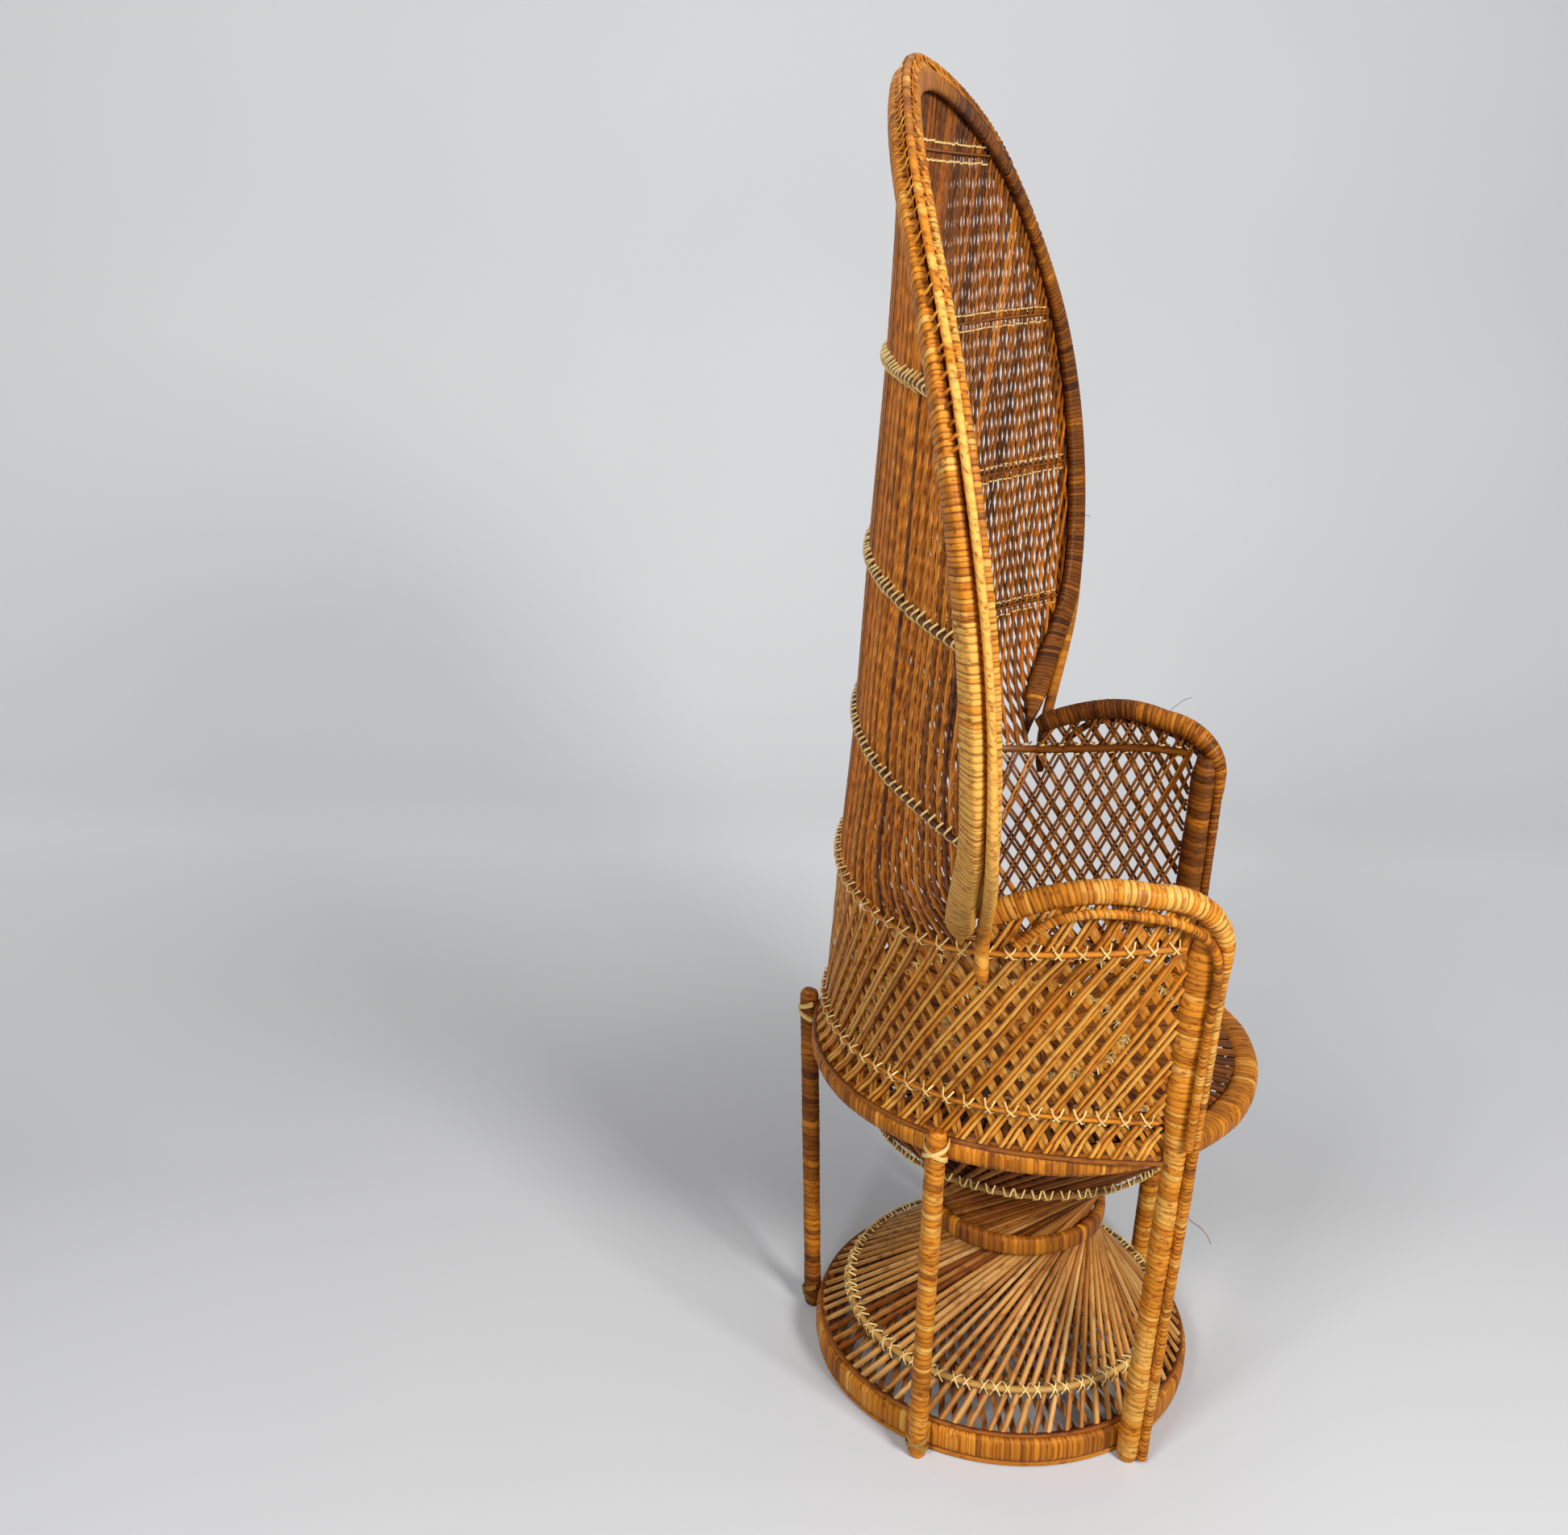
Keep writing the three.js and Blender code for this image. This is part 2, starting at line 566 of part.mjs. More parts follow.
const edgeCurve = new THREE.CatmullRomCurve3([
  ...leftEdge,
  point(0, HOOD_TOP_BACK, hoodTop),
  ...mirrored(leftEdge).reverse(),
]);
const spineCurve = new THREE.CatmullRomCurve3([
  point(0, rimMiddleBack, wallFoot),
  point(0, rimMiddleBack - LOW_HOOP_FLARE / 2, SEAT_HEIGHT + WALL_LOW_HOOP),
  point(0, MIDDLE_SPINE, SEAT_HEIGHT + WALL_MIDDLE),
  point(0, ARM_HOOP_SPINE, armHoop),
  ...hoodHoops.map((z, i) => point(0, HOOD_SPINES[i], z)),
  point(0, HOOD_TOP_BACK, hoodTop),
]);

// Place on a rising curve at a height, searched between its start and a share of its length
function parameterAt(curve, z, end) {
  return search((t) => curve.getPoint(t).z < z, 0, end);
}

// Front end of the wall at a height: behind the arm post, just clear of it
function wallEnd(z) {
  const reach = legRadius + FRAME_WIDTH / 2 + 2 * CLEARANCE;
  return frontLegAxes[1](z).add(point(0.45, 0.9, 0).normalize().multiplyScalar(reach));
}

// Half of the level outline of the back, from the spine to the edge of the hood, or to the arm post
function halfOutline(z, hasArms) {
  const level = hasArms ? Math.min(z, armHoop) : z;
  const edge = edgeCurve.getPoint(parameterAt(edgeCurve, level, 0.5));
  const spine = spineCurve.getPoint(parameterAt(spineCurve, level, 1)).y;
  const flare = THREE.MathUtils.smoothstep(level, armHoop, hoodHoops[0]);
  const points = [];
  for (let i = 0; i <= OUTLINE_STEPS; i++) {
    const turn = (Math.PI / 2) * (i / OUTLINE_STEPS);
    const rise = THREE.MathUtils.lerp(Math.cos(turn), Math.cos(turn) ** 2, flare);
    points.push(point(edge.x * Math.sin(turn), edge.y + (spine - edge.y) * rise, z));
  }
  if (!hasArms) return points;
  const end = wallEnd(z);
  for (let i = 1; i <= OUTLINE_STEPS; i++) {
    const s = i / OUTLINE_STEPS;
    points.push(point(end.x + (edge.x - end.x) * (1 - s * s), edge.y + (end.y - edge.y) * s, z));
  }
  return points;
}

const outlines = new Map();

// Level outline with its running length, kept for each height that is asked for
function outline(z, hasArms) {
  const key = z.toFixed(4) + hasArms;
  if (!outlines.has(key)) {
    const points = halfOutline(z, hasArms);
    const lengths = [0];
    points.slice(1).forEach((p, i) => lengths.push(lengths[i] + p.distanceTo(points[i])));
    outlines.set(key, { points, lengths, half: lengths[lengths.length - 1] });
  }
  return outlines.get(key);
}

// Point of the back at a height and a share of the half outline: -1 right end, 0 spine, 1 left end
function backPoint(share, z, hasArms) {
  const { points, lengths, half } = outline(z, hasArms);
  const length = Math.min(Math.abs(share), 1) * half;
  let i = lengths.findIndex((l) => l >= length);
  i = Math.max(i, 1);
  const p = points[i - 1].clone().lerp(points[i], (length - lengths[i - 1]) / (lengths[i] - lengths[i - 1]));
  return share < 0 ? p.setX(-p.x) : p;
}

function backStation(share, z, hasArms) {
  const step = 0.01;
  const at = backPoint(share, z, hasArms);
  const inner = backPoint(Math.max(share - step, -1), z, hasArms);
  const along = backPoint(Math.min(share + step, 1), z, hasArms).sub(inner);
  const rise = backPoint(share, z + 1, hasArms).sub(backPoint(share, z - 1, hasArms));
  return { at, normal: rise.cross(along).normalize() };
}

// Places along a path, from a first up to but without a last, between which it is straight within a sag
function bends(path, first, last, sag) {
  const start = path(first);
  const run = path(last).sub(start);
  const strays = [0.25, 0.5, 0.75].some((share) => {
    const straight = start.clone().addScaledVector(run, share);
    return path(THREE.MathUtils.lerp(first, last, share)).distanceTo(straight) > sag;
  });
  if (!strays) return [first];
  const middle = (first + last) / 2;
  return [...bends(path, first, middle, sag), ...bends(path, middle, last, sag)];
}

// Cane that rises along the back, bending at every hoop that it crosses and where the form needs it
function risingCane(shareAt, enter, leave, rows, hasArms, offset) {
  const path = (z) => backPoint(shareAt(z), z, hasArms);
  const crossed = rows.filter((z) => z > enter + CANE_WIDTH && z < leave - CANE_WIDTH);
  const stops = [enter, ...crossed, leave];
  const heights = stops.slice(1).flatMap((z, i) => bends(path, stops[i], z, CANE_SAG));
  const stations = [...heights, leave].map((z) => backStation(shareAt(z), z, hasArms));
  return bar(stations, CANE_WIDTH, CANE_THICKNESS, offset);
}

// Hoop along the back at a height, its middle at a distance from the middle of the lattice
function backHoop(z, hasArms, endShare, offset, height, thickness) {
  const steps = hasArms ? HOOP_STEPS + HOOP_STEPS / 2 : HOOP_STEPS;
  const stations = [];
  for (let i = 0; i <= steps; i++) {
    stations.push(backStation(endShare * ((2 * i) / steps - 1), z, hasArms));
  }
  return bar(stations, height, thickness, offset);
}

// Height of the arm rail's middle over the wall, at a share of the way from the hood to the post
function railHeight(s) {
  const bent = Math.min((s - RAIL_BEND_START) / (1 - RAIL_BEND_START), 1);
  if (bent > 0) return railBend(bent * bendShare()).z;
  const swell = Math.sin(Math.PI * THREE.MathUtils.lerp(...ARM_CREST, s));
  return SEAT_HEIGHT + ARM_HEIGHT_BACK + ARM_RISE * swell;
}

// Middle of the left rail in its bend, at a share of the level run from the start of the bend to its front
function railBend(share) {
  const start = railBendStart();
  const foot = start.z - RAIL_BEND_DROP;
  const z = foot + RAIL_BEND_DROP * Math.sqrt(1 - share * share);
  return start.clone().lerp(railFrontAt(foot), share).setZ(z);
}

function railBendStart() {
  return armStation(RAIL_BEND_START, railHeight(RAIL_BEND_START)).at;
}

// Middle of the left rail where it runs down the front of the post
function railFrontAt(z) {
  const reach = legRadius + ARM_ROD_DIAMETER / 2 + 2 * CLEARANCE;
  return frontLegAxes[1](z).addScaledVector(railFront, reach);
}

// Share of the bend that lies over the wall, behind the post
function bendShare() {
  const start = railBendStart();
  const run = railFrontAt(start.z).sub(start).setZ(0).length();
  return wallEnd(start.z).sub(start).setZ(0).length() / run;
}

// Where a wall cane ends at the top: at the arm hoop under the hood, and under the rail along the arm
function wallTop(share) {
  const edgeShare = armEdgeShare();
  if (Math.abs(share) <= edgeShare) return armHoop;
  const s = (Math.abs(share) - edgeShare) / (1 - edgeShare);
  return railHeight(s) - railRadius - RAIL_SAG;
}

function armEdgeShare() {
  const { lengths, half } = outline(armHoop, true);
  return lengths[OUTLINE_STEPS] / half;
}

// Slanting canes of the wall, leaning to one side, each from seat or post to hoop, rail or post
function wallCanes(direction) {
  const canes = [];
  const half = outline(armHoop, true).half;
  const lean = (-direction * WALL_LEAN) / half;
  const rows = [SEAT_HEIGHT + WALL_LOW_HOOP, armHoop];
  const reach = Math.abs(lean) * (railHeight(0.5) - wallFoot);
  const pitch = 2 / WALL_CANES;
  for (let start = -1 - reach; start <= 1 + reach; start += pitch) {
    const shareAt = (z) => start + lean * (z - wallFoot);
    const enter = wallFoot + Math.max(0, (Math.abs(start) - 1) / Math.abs(lean));
    const goesIn = Math.abs(start) <= 1 || start * lean < 0;
    let leave = enter;
    const top = (z) => Math.max(wallTop(shareAt(z)), armHoop) - CANE_WIDTH / 2;
    while (Math.abs(shareAt(leave)) <= 1 && leave < top(leave)) leave += CLIMB / 8;
    if (!goesIn || leave - enter < SHORTEST_CANE) continue;
    canes.push(risingCane(shareAt, enter, leave, rows, true, direction * caneOffset));
  }
  return canes;
}

// Bound cane ends along the seat rim and up both posts, which hold a layer together
function wallFrame(direction) {
  const offset = direction * caneOffset;
  const foot = backHoop(wallFoot, true, 1, offset, FRAME_WIDTH, FRAME_THICKNESS);
  const ends = [-1, 1].map((share) => {
    const top = wallTop(share) - FRAME_WIDTH / 2;
    const stations = [wallFoot, armHoop, top].map((z) => backStation(share, z, true));
    return bar(stations, FRAME_WIDTH, FRAME_THICKNESS, offset);
  });
  return [foot, ...ends];
}

// Middle of a hoop, measured from the middle of the lattice, on the outer or inner side
function hoopOffset(direction, gaps) {
  const gap = direction > 0 ? gaps[0] : gaps[1];
  return direction * (caneFace + gap + HOOP_THICKNESS / 2);
}

function buildWall() {
  const endShare = 1 - FRAME_WIDTH / outline(armHoop, true).half;
  const hoops = [['low', SEAT_HEIGHT + WALL_LOW_HOOP, LOW_HOOP_GAPS], ['arm', armHoop, ARM_HOOP_GAPS]];
  [['outer', 1], ['inner', -1]].forEach(([layer, direction]) => {
    addPiece('wall_' + layer + '_canes', fuse([...wallFrame(direction), ...wallCanes(direction)]), cane);
    hoops.forEach(([name, z, gaps]) => {
      const hoop = backHoop(z, true, endShare, hoopOffset(direction, gaps), HOOP_HEIGHT, HOOP_THICKNESS);
      addPiece('wall_' + name + '_hoop_' + layer, hoop, binding);
    });
  });
}

// Rim of the hood
const edgeRadius = EDGE_ROD_DIAMETER / 2;
const rollInset = edgeRadius + CLEARANCE;
const rollMiddle = rollInset + ROLL_WIDTH / 2;
const rollFoot = armHoop + ROLL_FOOT;
const hoodFoot = armHoop + HOOP_HEIGHT / 2 + HOOD_FOOT_GAP;

// Lean of the rim within the shell at a place along it: its inward and upward run for a unit of length
function rimLean(t) {
  const at = edgeCurve.getPoint(t);
  const up = edgeCurve.getTangent(t).multiplyScalar(t > 0.5 ? -1 : 1);
  const side = t > 0.5 ? -1 : 1;
  const near = 1 - 1 / Math.max(outline(at.z, false).half, 1);
  const level = backPoint(side * near, at.z, false).sub(at);
  const inward = level.lengthSq() > 1e-6 ? up.dot(level.normalize()) : 1;
  return { inward, upward: Math.sqrt(Math.max(1 - inward * inward, 1e-6)), side };
}

// Places along the rim from the left side over the top to the right, close enough to follow its curve
function rimPlaces() {
  const first = parameterAt(edgeCurve, rollFoot, 0.5);
  const places = bends((t) => edgeCurve.getPoint(t), first, 0.5, RIM_SAG);
  return [...places, 0.5, ...places.map((t) => 1 - t).reverse()];
}

// Height and share of the outline at a distance in from a place on the rim
function rimInset(t, inset) {
  const { inward, upward, side } = rimLean(t);
  const edgeHeight = edgeCurve.getPoint(t).z;
  const z = edgeHeight - inset * inward;
  const share = (side * (outline(edgeHeight, false).half - inset * upward)) / outline(z, false).half;
  return { share, z };
}

function withinRim(t, inset) {
  const { share, z } = rimInset(t, inset);
  return backStation(share, z, false);
}

// Where a hoop at a height stops, short of the roll
function hoopEnd(height) {
  const reach = rollInset + ROLL_WIDTH + HOOP_END_GAP;
  const isUnder = (t) => rimInset(t, reach).z < height + HOOP_HEIGHT / 2;
  const place = search(isUnder, parameterAt(edgeCurve, rollFoot, 0.5), 0.5);
  return rimInset(place, reach).share;
}

// Flattened roll of bound cane ends along the rim, on the outer or inner face of the hood
function hoodRoll(direction) {
  const profile = [[-0.5, 0.02], [0.5, 0.02], [0.46, 0.5], [0.22, 1], [-0.22, 1], [-0.46, 0.5]];
  return loft(rimPlaces().map((t) => profile.map(([a, b]) => {
    const { at, normal } = withinRim(t, rollMiddle + a * ROLL_WIDTH);
    return at.addScaledVector(normal, direction * (LAYER_GAP / 4 + b * ROLL_THICKNESS));
  })));
}

// Canes of the hood, leaning to one side, each from the arm hoop or the rim up to the rim
function hoodCanes(direction) {
  const canes = [];
  const widest = outline(hoodHoops[1], false).half;
  const lean = (-direction * HOOD_LEAN) / widest;
  const pitch = 2 / HOOD_CANES;
  const end = (z) => {
    const { upward } = rimLean(parameterAt(edgeCurve, z, 0.5));
    return Math.max(0, 1 - rollMiddle / upward / outline(z, false).half);
  };
  const reach = Math.abs(lean) * (hoodTop - hoodFoot);
  const ceiling = hoodTop - rollMiddle;
  for (let start = -1 - reach + pitch / 2; start < 1 + reach; start += pitch) {
    const shareAt = (z) => start + lean * (z - hoodFoot);
    let enter = hoodFoot;
    while (enter < ceiling && Math.abs(shareAt(enter)) > end(enter)) enter += CLIMB;
    let leave = enter;
    while (leave < ceiling && Math.abs(shareAt(leave)) <= end(leave)) leave += CLIMB;
    if (leave - enter < SHORTEST_CANE) continue;
    canes.push(risingCane(shareAt, enter, leave, hoodHoops, false, direction * caneOffset));
  }
  return canes;
}

// Edge rod of the hood, whose two ends run down the outside of the wall
function edgeRodPoints() {
  const rim = rimPlaces().map((t) => edgeCurve.getPoint(t));
  const outside = caneFace + ARM_HOOP_GAPS[0] + HOOP_THICKNESS + edgeRadius + 4 * CLEARANCE;
  const share = armEdgeShare();
  const tail = [armHoop + HOOP_HEIGHT, armHoop - HOOP_HEIGHT, armHoop - EDGE_ROD_TAIL].map((z) => {
    const { at, normal } = backStation(share, z, true);
    return at.addScaledVector(normal, outside);
  });
  return [...tail.slice().reverse(), ...rim, ...mirrored(tail)];
}

function buildHood() {
  addPiece('hood_outer_canes', fuse([hoodRoll(1), ...hoodCanes(1)]), cane);
  addPiece('hood_inner_canes', fuse([hoodRoll(-1), ...hoodCanes(-1)]), cane);
  hoodHoops.forEach((z, i) => {
    [['outer', 1], ['inner', -1]].forEach(([layer, direction]) => {
      const offset = hoopOffset(direction, HOOD_HOOP_GAPS[i]);
      const hoop = backHoop(z, false, hoopEnd(z), offset, HOOP_HEIGHT, HOOP_THICKNESS);
      addPiece('hood_hoop_' + (i + 1) + '_' + layer, hoop, binding);
    });
  });
  const rod = edgeRodPoints();
  addPiece('hood_edge_rod', tube(rod, rod.map(() => edgeRadius), ROD_FACETS), peel);
}

// Arms
const railFront = point(0.25, -0.97, 0).normalize();

// Top of the arm post, under the bend of the rail
function postTop() {
  return railBendStart().z - RAIL_BEND_DROP - POST_DROP;
}

// Place over the wall at a height and a share of the way from the hood to the post
function armStation(s, z) {
  return backStation(THREE.MathUtils.lerp(armEdgeShare(), 1, s), z, true);
}

// Rail of the left arm: over the arm, bent down in front of the post and on as a thin rod beside the leg
function railPath() {
  const rodRadius = ARM_ROD_DIAMETER / 2;
  const points = [];
  const radii = [];
  const add = (p, r) => {
    points.push(p);
    radii.push(r);
  };
  [RAIL_START, 0.15, 0.3, 0.45, 0.6].forEach((s) => add(armStation(s, railHeight(s)).at, railRadius));
  [0, 30, 55, 75, 90].forEach((turn) => {
    const slimming = THREE.MathUtils.smoothstep(turn, ...RAIL_SLIMS);
    add(railBend(Math.sin(radians(turn))), THREE.MathUtils.lerp(railRadius, rodRadius, slimming));
  });
  const foot = railBend(1).z;
  [foot - RAIL_TAPER_DROP, rodRadius].forEach((z) => add(railFrontAt(z), rodRadius));
  return { points, radii };
}

// Bead rod under the rail: along the outer face of the left arm, round its bend and down beside the post
function beadPath() {
  const radius = ARM_BEAD_DIAMETER / 2;
  const outside = caneFace + radius + BEAD_GAP;
  const onWall = (s, z) => {
    const { at, normal } = armStation(s, z);
    return at.addScaledVector(normal, outside);
  };
  const points = [0.14, 0.3, 0.45, 0.6, BEAD_BEND_START].map((s) => {
    const under = railHeight(s) - railRadius - radius;
    const low = armHoop + HOOP_HEIGHT / 2 + radius + 2 * CLEARANCE;
    return onWall(s, THREE.MathUtils.lerp(low, under, THREE.MathUtils.smoothstep(s, 0.1, 0.35)));
  });
  const beside = point(0.81, -0.59, 0).normalize().multiplyScalar(legRadius + radius + CLEARANCE);
  const besidePost = (z) => frontLegAxes[1](z).add(beside);
  const foot = postTop() - BEAD_DROP;
  const drop = points[points.length - 1].z - foot;
  const bendHeight = (turn) => foot + drop * Math.cos(radians(turn));
  [0.5, 1].forEach((share) => {
    points.push(onWall(THREE.MathUtils.lerp(BEAD_BEND_START, 1, share), bendHeight(share * BEAD_WALL_TURN)));
  });
  const wallEnd = points[points.length - 1].clone();
  const past = THREE.MathUtils.lerp(BEAD_WALL_TURN, 90, 0.5);
  points.push(wallEnd.lerp(besidePost(foot), 0.7).setZ(bendHeight(past)));
  points.push(besidePost(foot), besidePost(SEAT_HEIGHT + LEG_STUB));
  return points;
}

function buildArms() {
  const rail = railPath();
  const bead = beadPath();
  const beadRadii = bead.map(() => ARM_BEAD_DIAMETER / 2);
  addPiece('arm_rail_left', tube(rail.points, rail.radii), peel);
  addPiece('arm_rail_right', tube(mirrored(rail.points), rail.radii), peel);
  addPiece('arm_bead_left', tube(bead, beadRadii, ROD_FACETS), peel);
  addPiece('arm_bead_right', tube(mirrored(bead), beadRadii, ROD_FACETS), peel);
}

buildBase();
buildPedestal();
buildSeat();
buildLegs();
buildWall();
buildHood();
buildArms();

// The chair's origin is on the floor under the middle of its outline
const extent = new THREE.Box3().setFromObject(frame);
frame.position.y = -(extent.min.y + extent.max.y) / 2;

export default chair;
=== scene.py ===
import math

import bpy
import numpy as np
from mathutils import Matrix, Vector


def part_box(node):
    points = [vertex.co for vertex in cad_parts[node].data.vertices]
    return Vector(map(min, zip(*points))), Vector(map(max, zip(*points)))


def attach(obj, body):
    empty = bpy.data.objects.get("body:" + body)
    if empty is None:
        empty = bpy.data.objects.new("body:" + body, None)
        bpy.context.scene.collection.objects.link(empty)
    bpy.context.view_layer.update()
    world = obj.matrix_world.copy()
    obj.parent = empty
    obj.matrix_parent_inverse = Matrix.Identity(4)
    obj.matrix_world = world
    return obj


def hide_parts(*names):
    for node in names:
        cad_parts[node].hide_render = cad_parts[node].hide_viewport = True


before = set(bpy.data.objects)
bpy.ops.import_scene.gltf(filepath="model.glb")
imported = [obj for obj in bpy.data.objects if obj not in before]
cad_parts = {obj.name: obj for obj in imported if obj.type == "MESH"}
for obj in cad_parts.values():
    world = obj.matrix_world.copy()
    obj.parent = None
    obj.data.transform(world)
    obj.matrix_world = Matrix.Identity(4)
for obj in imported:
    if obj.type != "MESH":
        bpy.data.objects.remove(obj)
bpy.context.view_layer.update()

rng = np.random.default_rng(11)
UP = np.array([0, 0, 1.0])
FLATTEN = np.array([1, 1, 0])
LAYER_NAMES = {1: "outer", -1: "inner"}

# Base, seat and legs, in metres from the floor and from the middle of the base ring
BASE_RADIUS = 0.214
BASE_FACE = 0.221
BASE_LEVEL = 0.0223
SEAT = 0.430
SEAT_FORWARD = 0.010
RIM_WIDTH, RIM_DEPTH = 0.241, 0.232
RIM_FACE_WIDTH, RIM_FACE_DEPTH = 0.256, 0.247
RIM_TOP = 0.4205
LASHING_LEVEL = 0.412
RING_SIDES = 30
FRONT_FOOT_ANGLE, FRONT_SEAT_ANGLE = 46, 52
REAR_ANGLE, BACK_ANGLE = 106, 180
PEDESTAL_CANES = 76
PEDESTAL_LOW_BAND, PEDESTAL_HIGH_BAND = 0.072, 0.322
SEAT_CANES = 132
LEG_RADIUS = 0.0125
LEG_FLAT = 0.01155
LEG_GAP = 0.0006
LEG_SLIM = 0.0022
FOOT_Z = 0.0004

# Wall and arms
WALL_FOOT = 0.4346
LOW_HOOP = 0.465
ARM_HOOP = 0.654
ARM_HOOP_RISES = {1: 0.028, -1: 0.009}
WALL_PITCH = 0.0215
WALL_LEANS = {1: 0.70, -1: 0.44}
LEFT_LEAN = 0.60
WALL_LAYER = 0.0024
WALL_STEPS = 26
WALL_LEAST = 0.012
PAIR_GAP = 0.0040
PAIR_SLOPE = 0.74
CANE_FACE = 0.00625
TOWARD_WALL = np.array([0.45, 0.9, 0])
WALL_END_GAP = 0.0171
RAIL_RADIUS = 0.012
RAIL_START = -0.035
RAIL_BEND_START = 0.78
RAIL_BEND_DROP = 0.060
ROD_RADIUS = 0.0055
BEAD_RADIUS = 0.0045

# Hood
HOOD_FOOT = 0.6622
HOOD_HOOPS = [0.816, 0.984, 1.164, 1.338]
HOOD_TOP = 1.415
HOOD_PITCH = 0.0112
HOOD_LEAN = 0.29
HOOD_LAYER = 0.0011
HOOD_BOW = 0.0125
HOOD_STEPS = 130
HOOD_LEAST = 0.02
HOOP_STEPS = 240
HOOP_DRAW = 0.012
EDGE_RADIUS = 0.0045
ROLL_WIDTH = 0.027
ROLL_THICKNESS = 0.010
ROLL_FOOT = 0.670
ROLL_INSET = 0.0048
LACE_STEP = 0.0048

# Light of the studio and the photograph's viewing direction on the floor
PAPER_GLOW = 0.26
WORLD_LIGHT = 0.12
WORLD_SEEN = 0.62
VIEW_X, VIEW_Y = 0.9745, 0.2246

base_low, base_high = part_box("base_ring")
MIDDLE = np.array([0.0, (base_low.y + base_high.y) / 2, 0.0])


def smooth(x, start, end):
    t = np.clip((np.asarray(x, float) - start) / (end - start), 0, 1)
    return t * t * (3 - 2 * t)


def unit(v):
    v = np.asarray(v, float)
    return v / np.maximum(np.linalg.norm(v, axis=-1, keepdims=True), 1e-12)


def lengths(path):
    return np.concatenate([[0], np.cumsum(np.linalg.norm(np.diff(path, axis=0), axis=1))])


def sample(table, at, run):
    return np.stack([np.interp(at, run, table[:, i]) for i in range(table.shape[1])], -1)


# Value at places along a path, from one number or from one number for each station
def follow(value, at, run):
    return np.interp(at, run, value) if np.ndim(value) else value


# Middles of equal shares of a whole
def middles(count):
    return (np.arange(count) + 0.5) / count


def turns(count):
    return middles(count) * 2 * math.pi


def ellipse(turn, half_width, half_depth, back, z):
    return np.stack([half_width * np.cos(turn), back + half_depth * np.sin(turn), np.full(len(turn), z)], -1)


# Path on an ellipse round the chair's axis, with its outward directions
def round_path(half_width, half_depth, back, z, count=240):
    turn = np.arange(count) / count * 2 * math.pi
    outward = unit(ellipse(turn, half_depth, half_width, 0, 0))
    return ellipse(turn, half_width, half_depth, back, z), outward


# Curve through points whose speed follows the spacing of the points
def curve(points, t):
    p = np.asarray(points, float)
    n = len(p) - 1
    p = np.vstack([2 * p[0] - p[1], p, 2 * p[-1] - p[-2]])
    x = np.clip(t, 0, 1) * n
    i = np.minimum(x.astype(int), n - 1)
    w = (x - i)[:, None]
    a, b, c, d = p[i], p[i + 1], p[i + 2], p[i + 3]

    def gap(u, v):
        return np.maximum(((v - u) ** 2).sum(1), 1e-14)[:, None] ** 0.25
    s0, s1, s2 = gap(a, b), gap(b, c), gap(c, d)
    m = ((b - a) / s0 - (c - a) / (s0 + s1) + (c - b) / s1) * s1
    q = ((c - b) / s1 - (d - b) / (s1 + s2) + (d - c) / s2) * s1
    return b + m * w + (3 * c - 3 * b - 2 * m - q) * w ** 2 + (2 * b - 2 * c + m + q) * w ** 3


# Place on the flat-sided outer face of a ring
def ring_face(half_width, half_depth, back, turn):
    step = 2 * math.pi / RING_SIDES
    whole = math.floor(turn / step)
    share = turn / step - whole
    corners = ellipse(np.array([whole * step, (whole + 1) * step]), half_width, half_depth, back, 0)
    return corners[0] * (1 - share) + corners[1] * share


# Straight axis of a leg that leans on the base ring and on the seat rim
def leg_axis(foot_angle, seat_angle, side):
    angles = [math.radians(a) for a in (foot_angle, seat_angle)]
    ways = [math.atan2(-math.cos(a), side * math.sin(a)) for a in angles]
    low = ring_face(BASE_FACE, BASE_FACE, 0, ways[0])
    high = ring_face(RIM_FACE_WIDTH, RIM_FACE_DEPTH, -SEAT_FORWARD, ways[1])
    slope = (np.linalg.norm(high) - np.linalg.norm(low)) / (LASHING_LEVEL - BASE_LEVEL)
    reach = LEG_FLAT + LEG_GAP + abs(slope) * 0.009
    outs = ellipse(np.array(ways), 1, 1, 0, 0)
    low = low + reach * outs[0]
    high = high + reach * outs[1]

    def axis(z):
        z = np.asarray(z, float)
        share = ((z - BASE_LEVEL) / (LASHING_LEVEL - BASE_LEVEL))[..., None]
        p = low * (1 - share) + high * share
        p[..., 2] = z
        return p
    return axis


def front_leg_axis(side):
    return leg_axis(FRONT_FOOT_ANGLE, FRONT_SEAT_ANGLE, side)


FRONT_LEG = front_leg_axis(1)


# Front end of the left wall, beside the arm post
def wall_end(z):
    return FRONT_LEG(z) + unit(TOWARD_WALL) * WALL_END_GAP


# Form of the back: the widths and depths of its left edge and the depths of its spine, by level
BACK_LEVELS = [WALL_FOOT, LOW_HOOP, 0.560, ARM_HOOP, *HOOD_HOOPS, HOOD_TOP]
EDGE_WIDTHS = [0.241, 0.245, 0.262, 0.293, 0.472, 0.503, 0.481, 0.335]
EDGE_DEPTHS = [-0.010, -0.006, 0.015, 0.025, 0.008, 0.019, 0.056, 0.122]
SPINE_DEPTHS = [0.222, 0.220, 0.213, 0.207, 0.195, 0.186, 0.174, 0.167, 0.168]
left_edge = list(zip(EDGE_WIDTHS, EDGE_DEPTHS, BACK_LEVELS))
right_edge = [(-x, y, z) for x, y, z in reversed(left_edge)]
EDGE = curve(left_edge + [(0, SPINE_DEPTHS[-1], HOOD_TOP)] + right_edge, np.linspace(0, 0.5, 2401))
SPINE = curve([(0, y, z) for y, z in zip(SPINE_DEPTHS, BACK_LEVELS)], np.linspace(0, 1, 1201))
OUTLINE_STEPS = 61


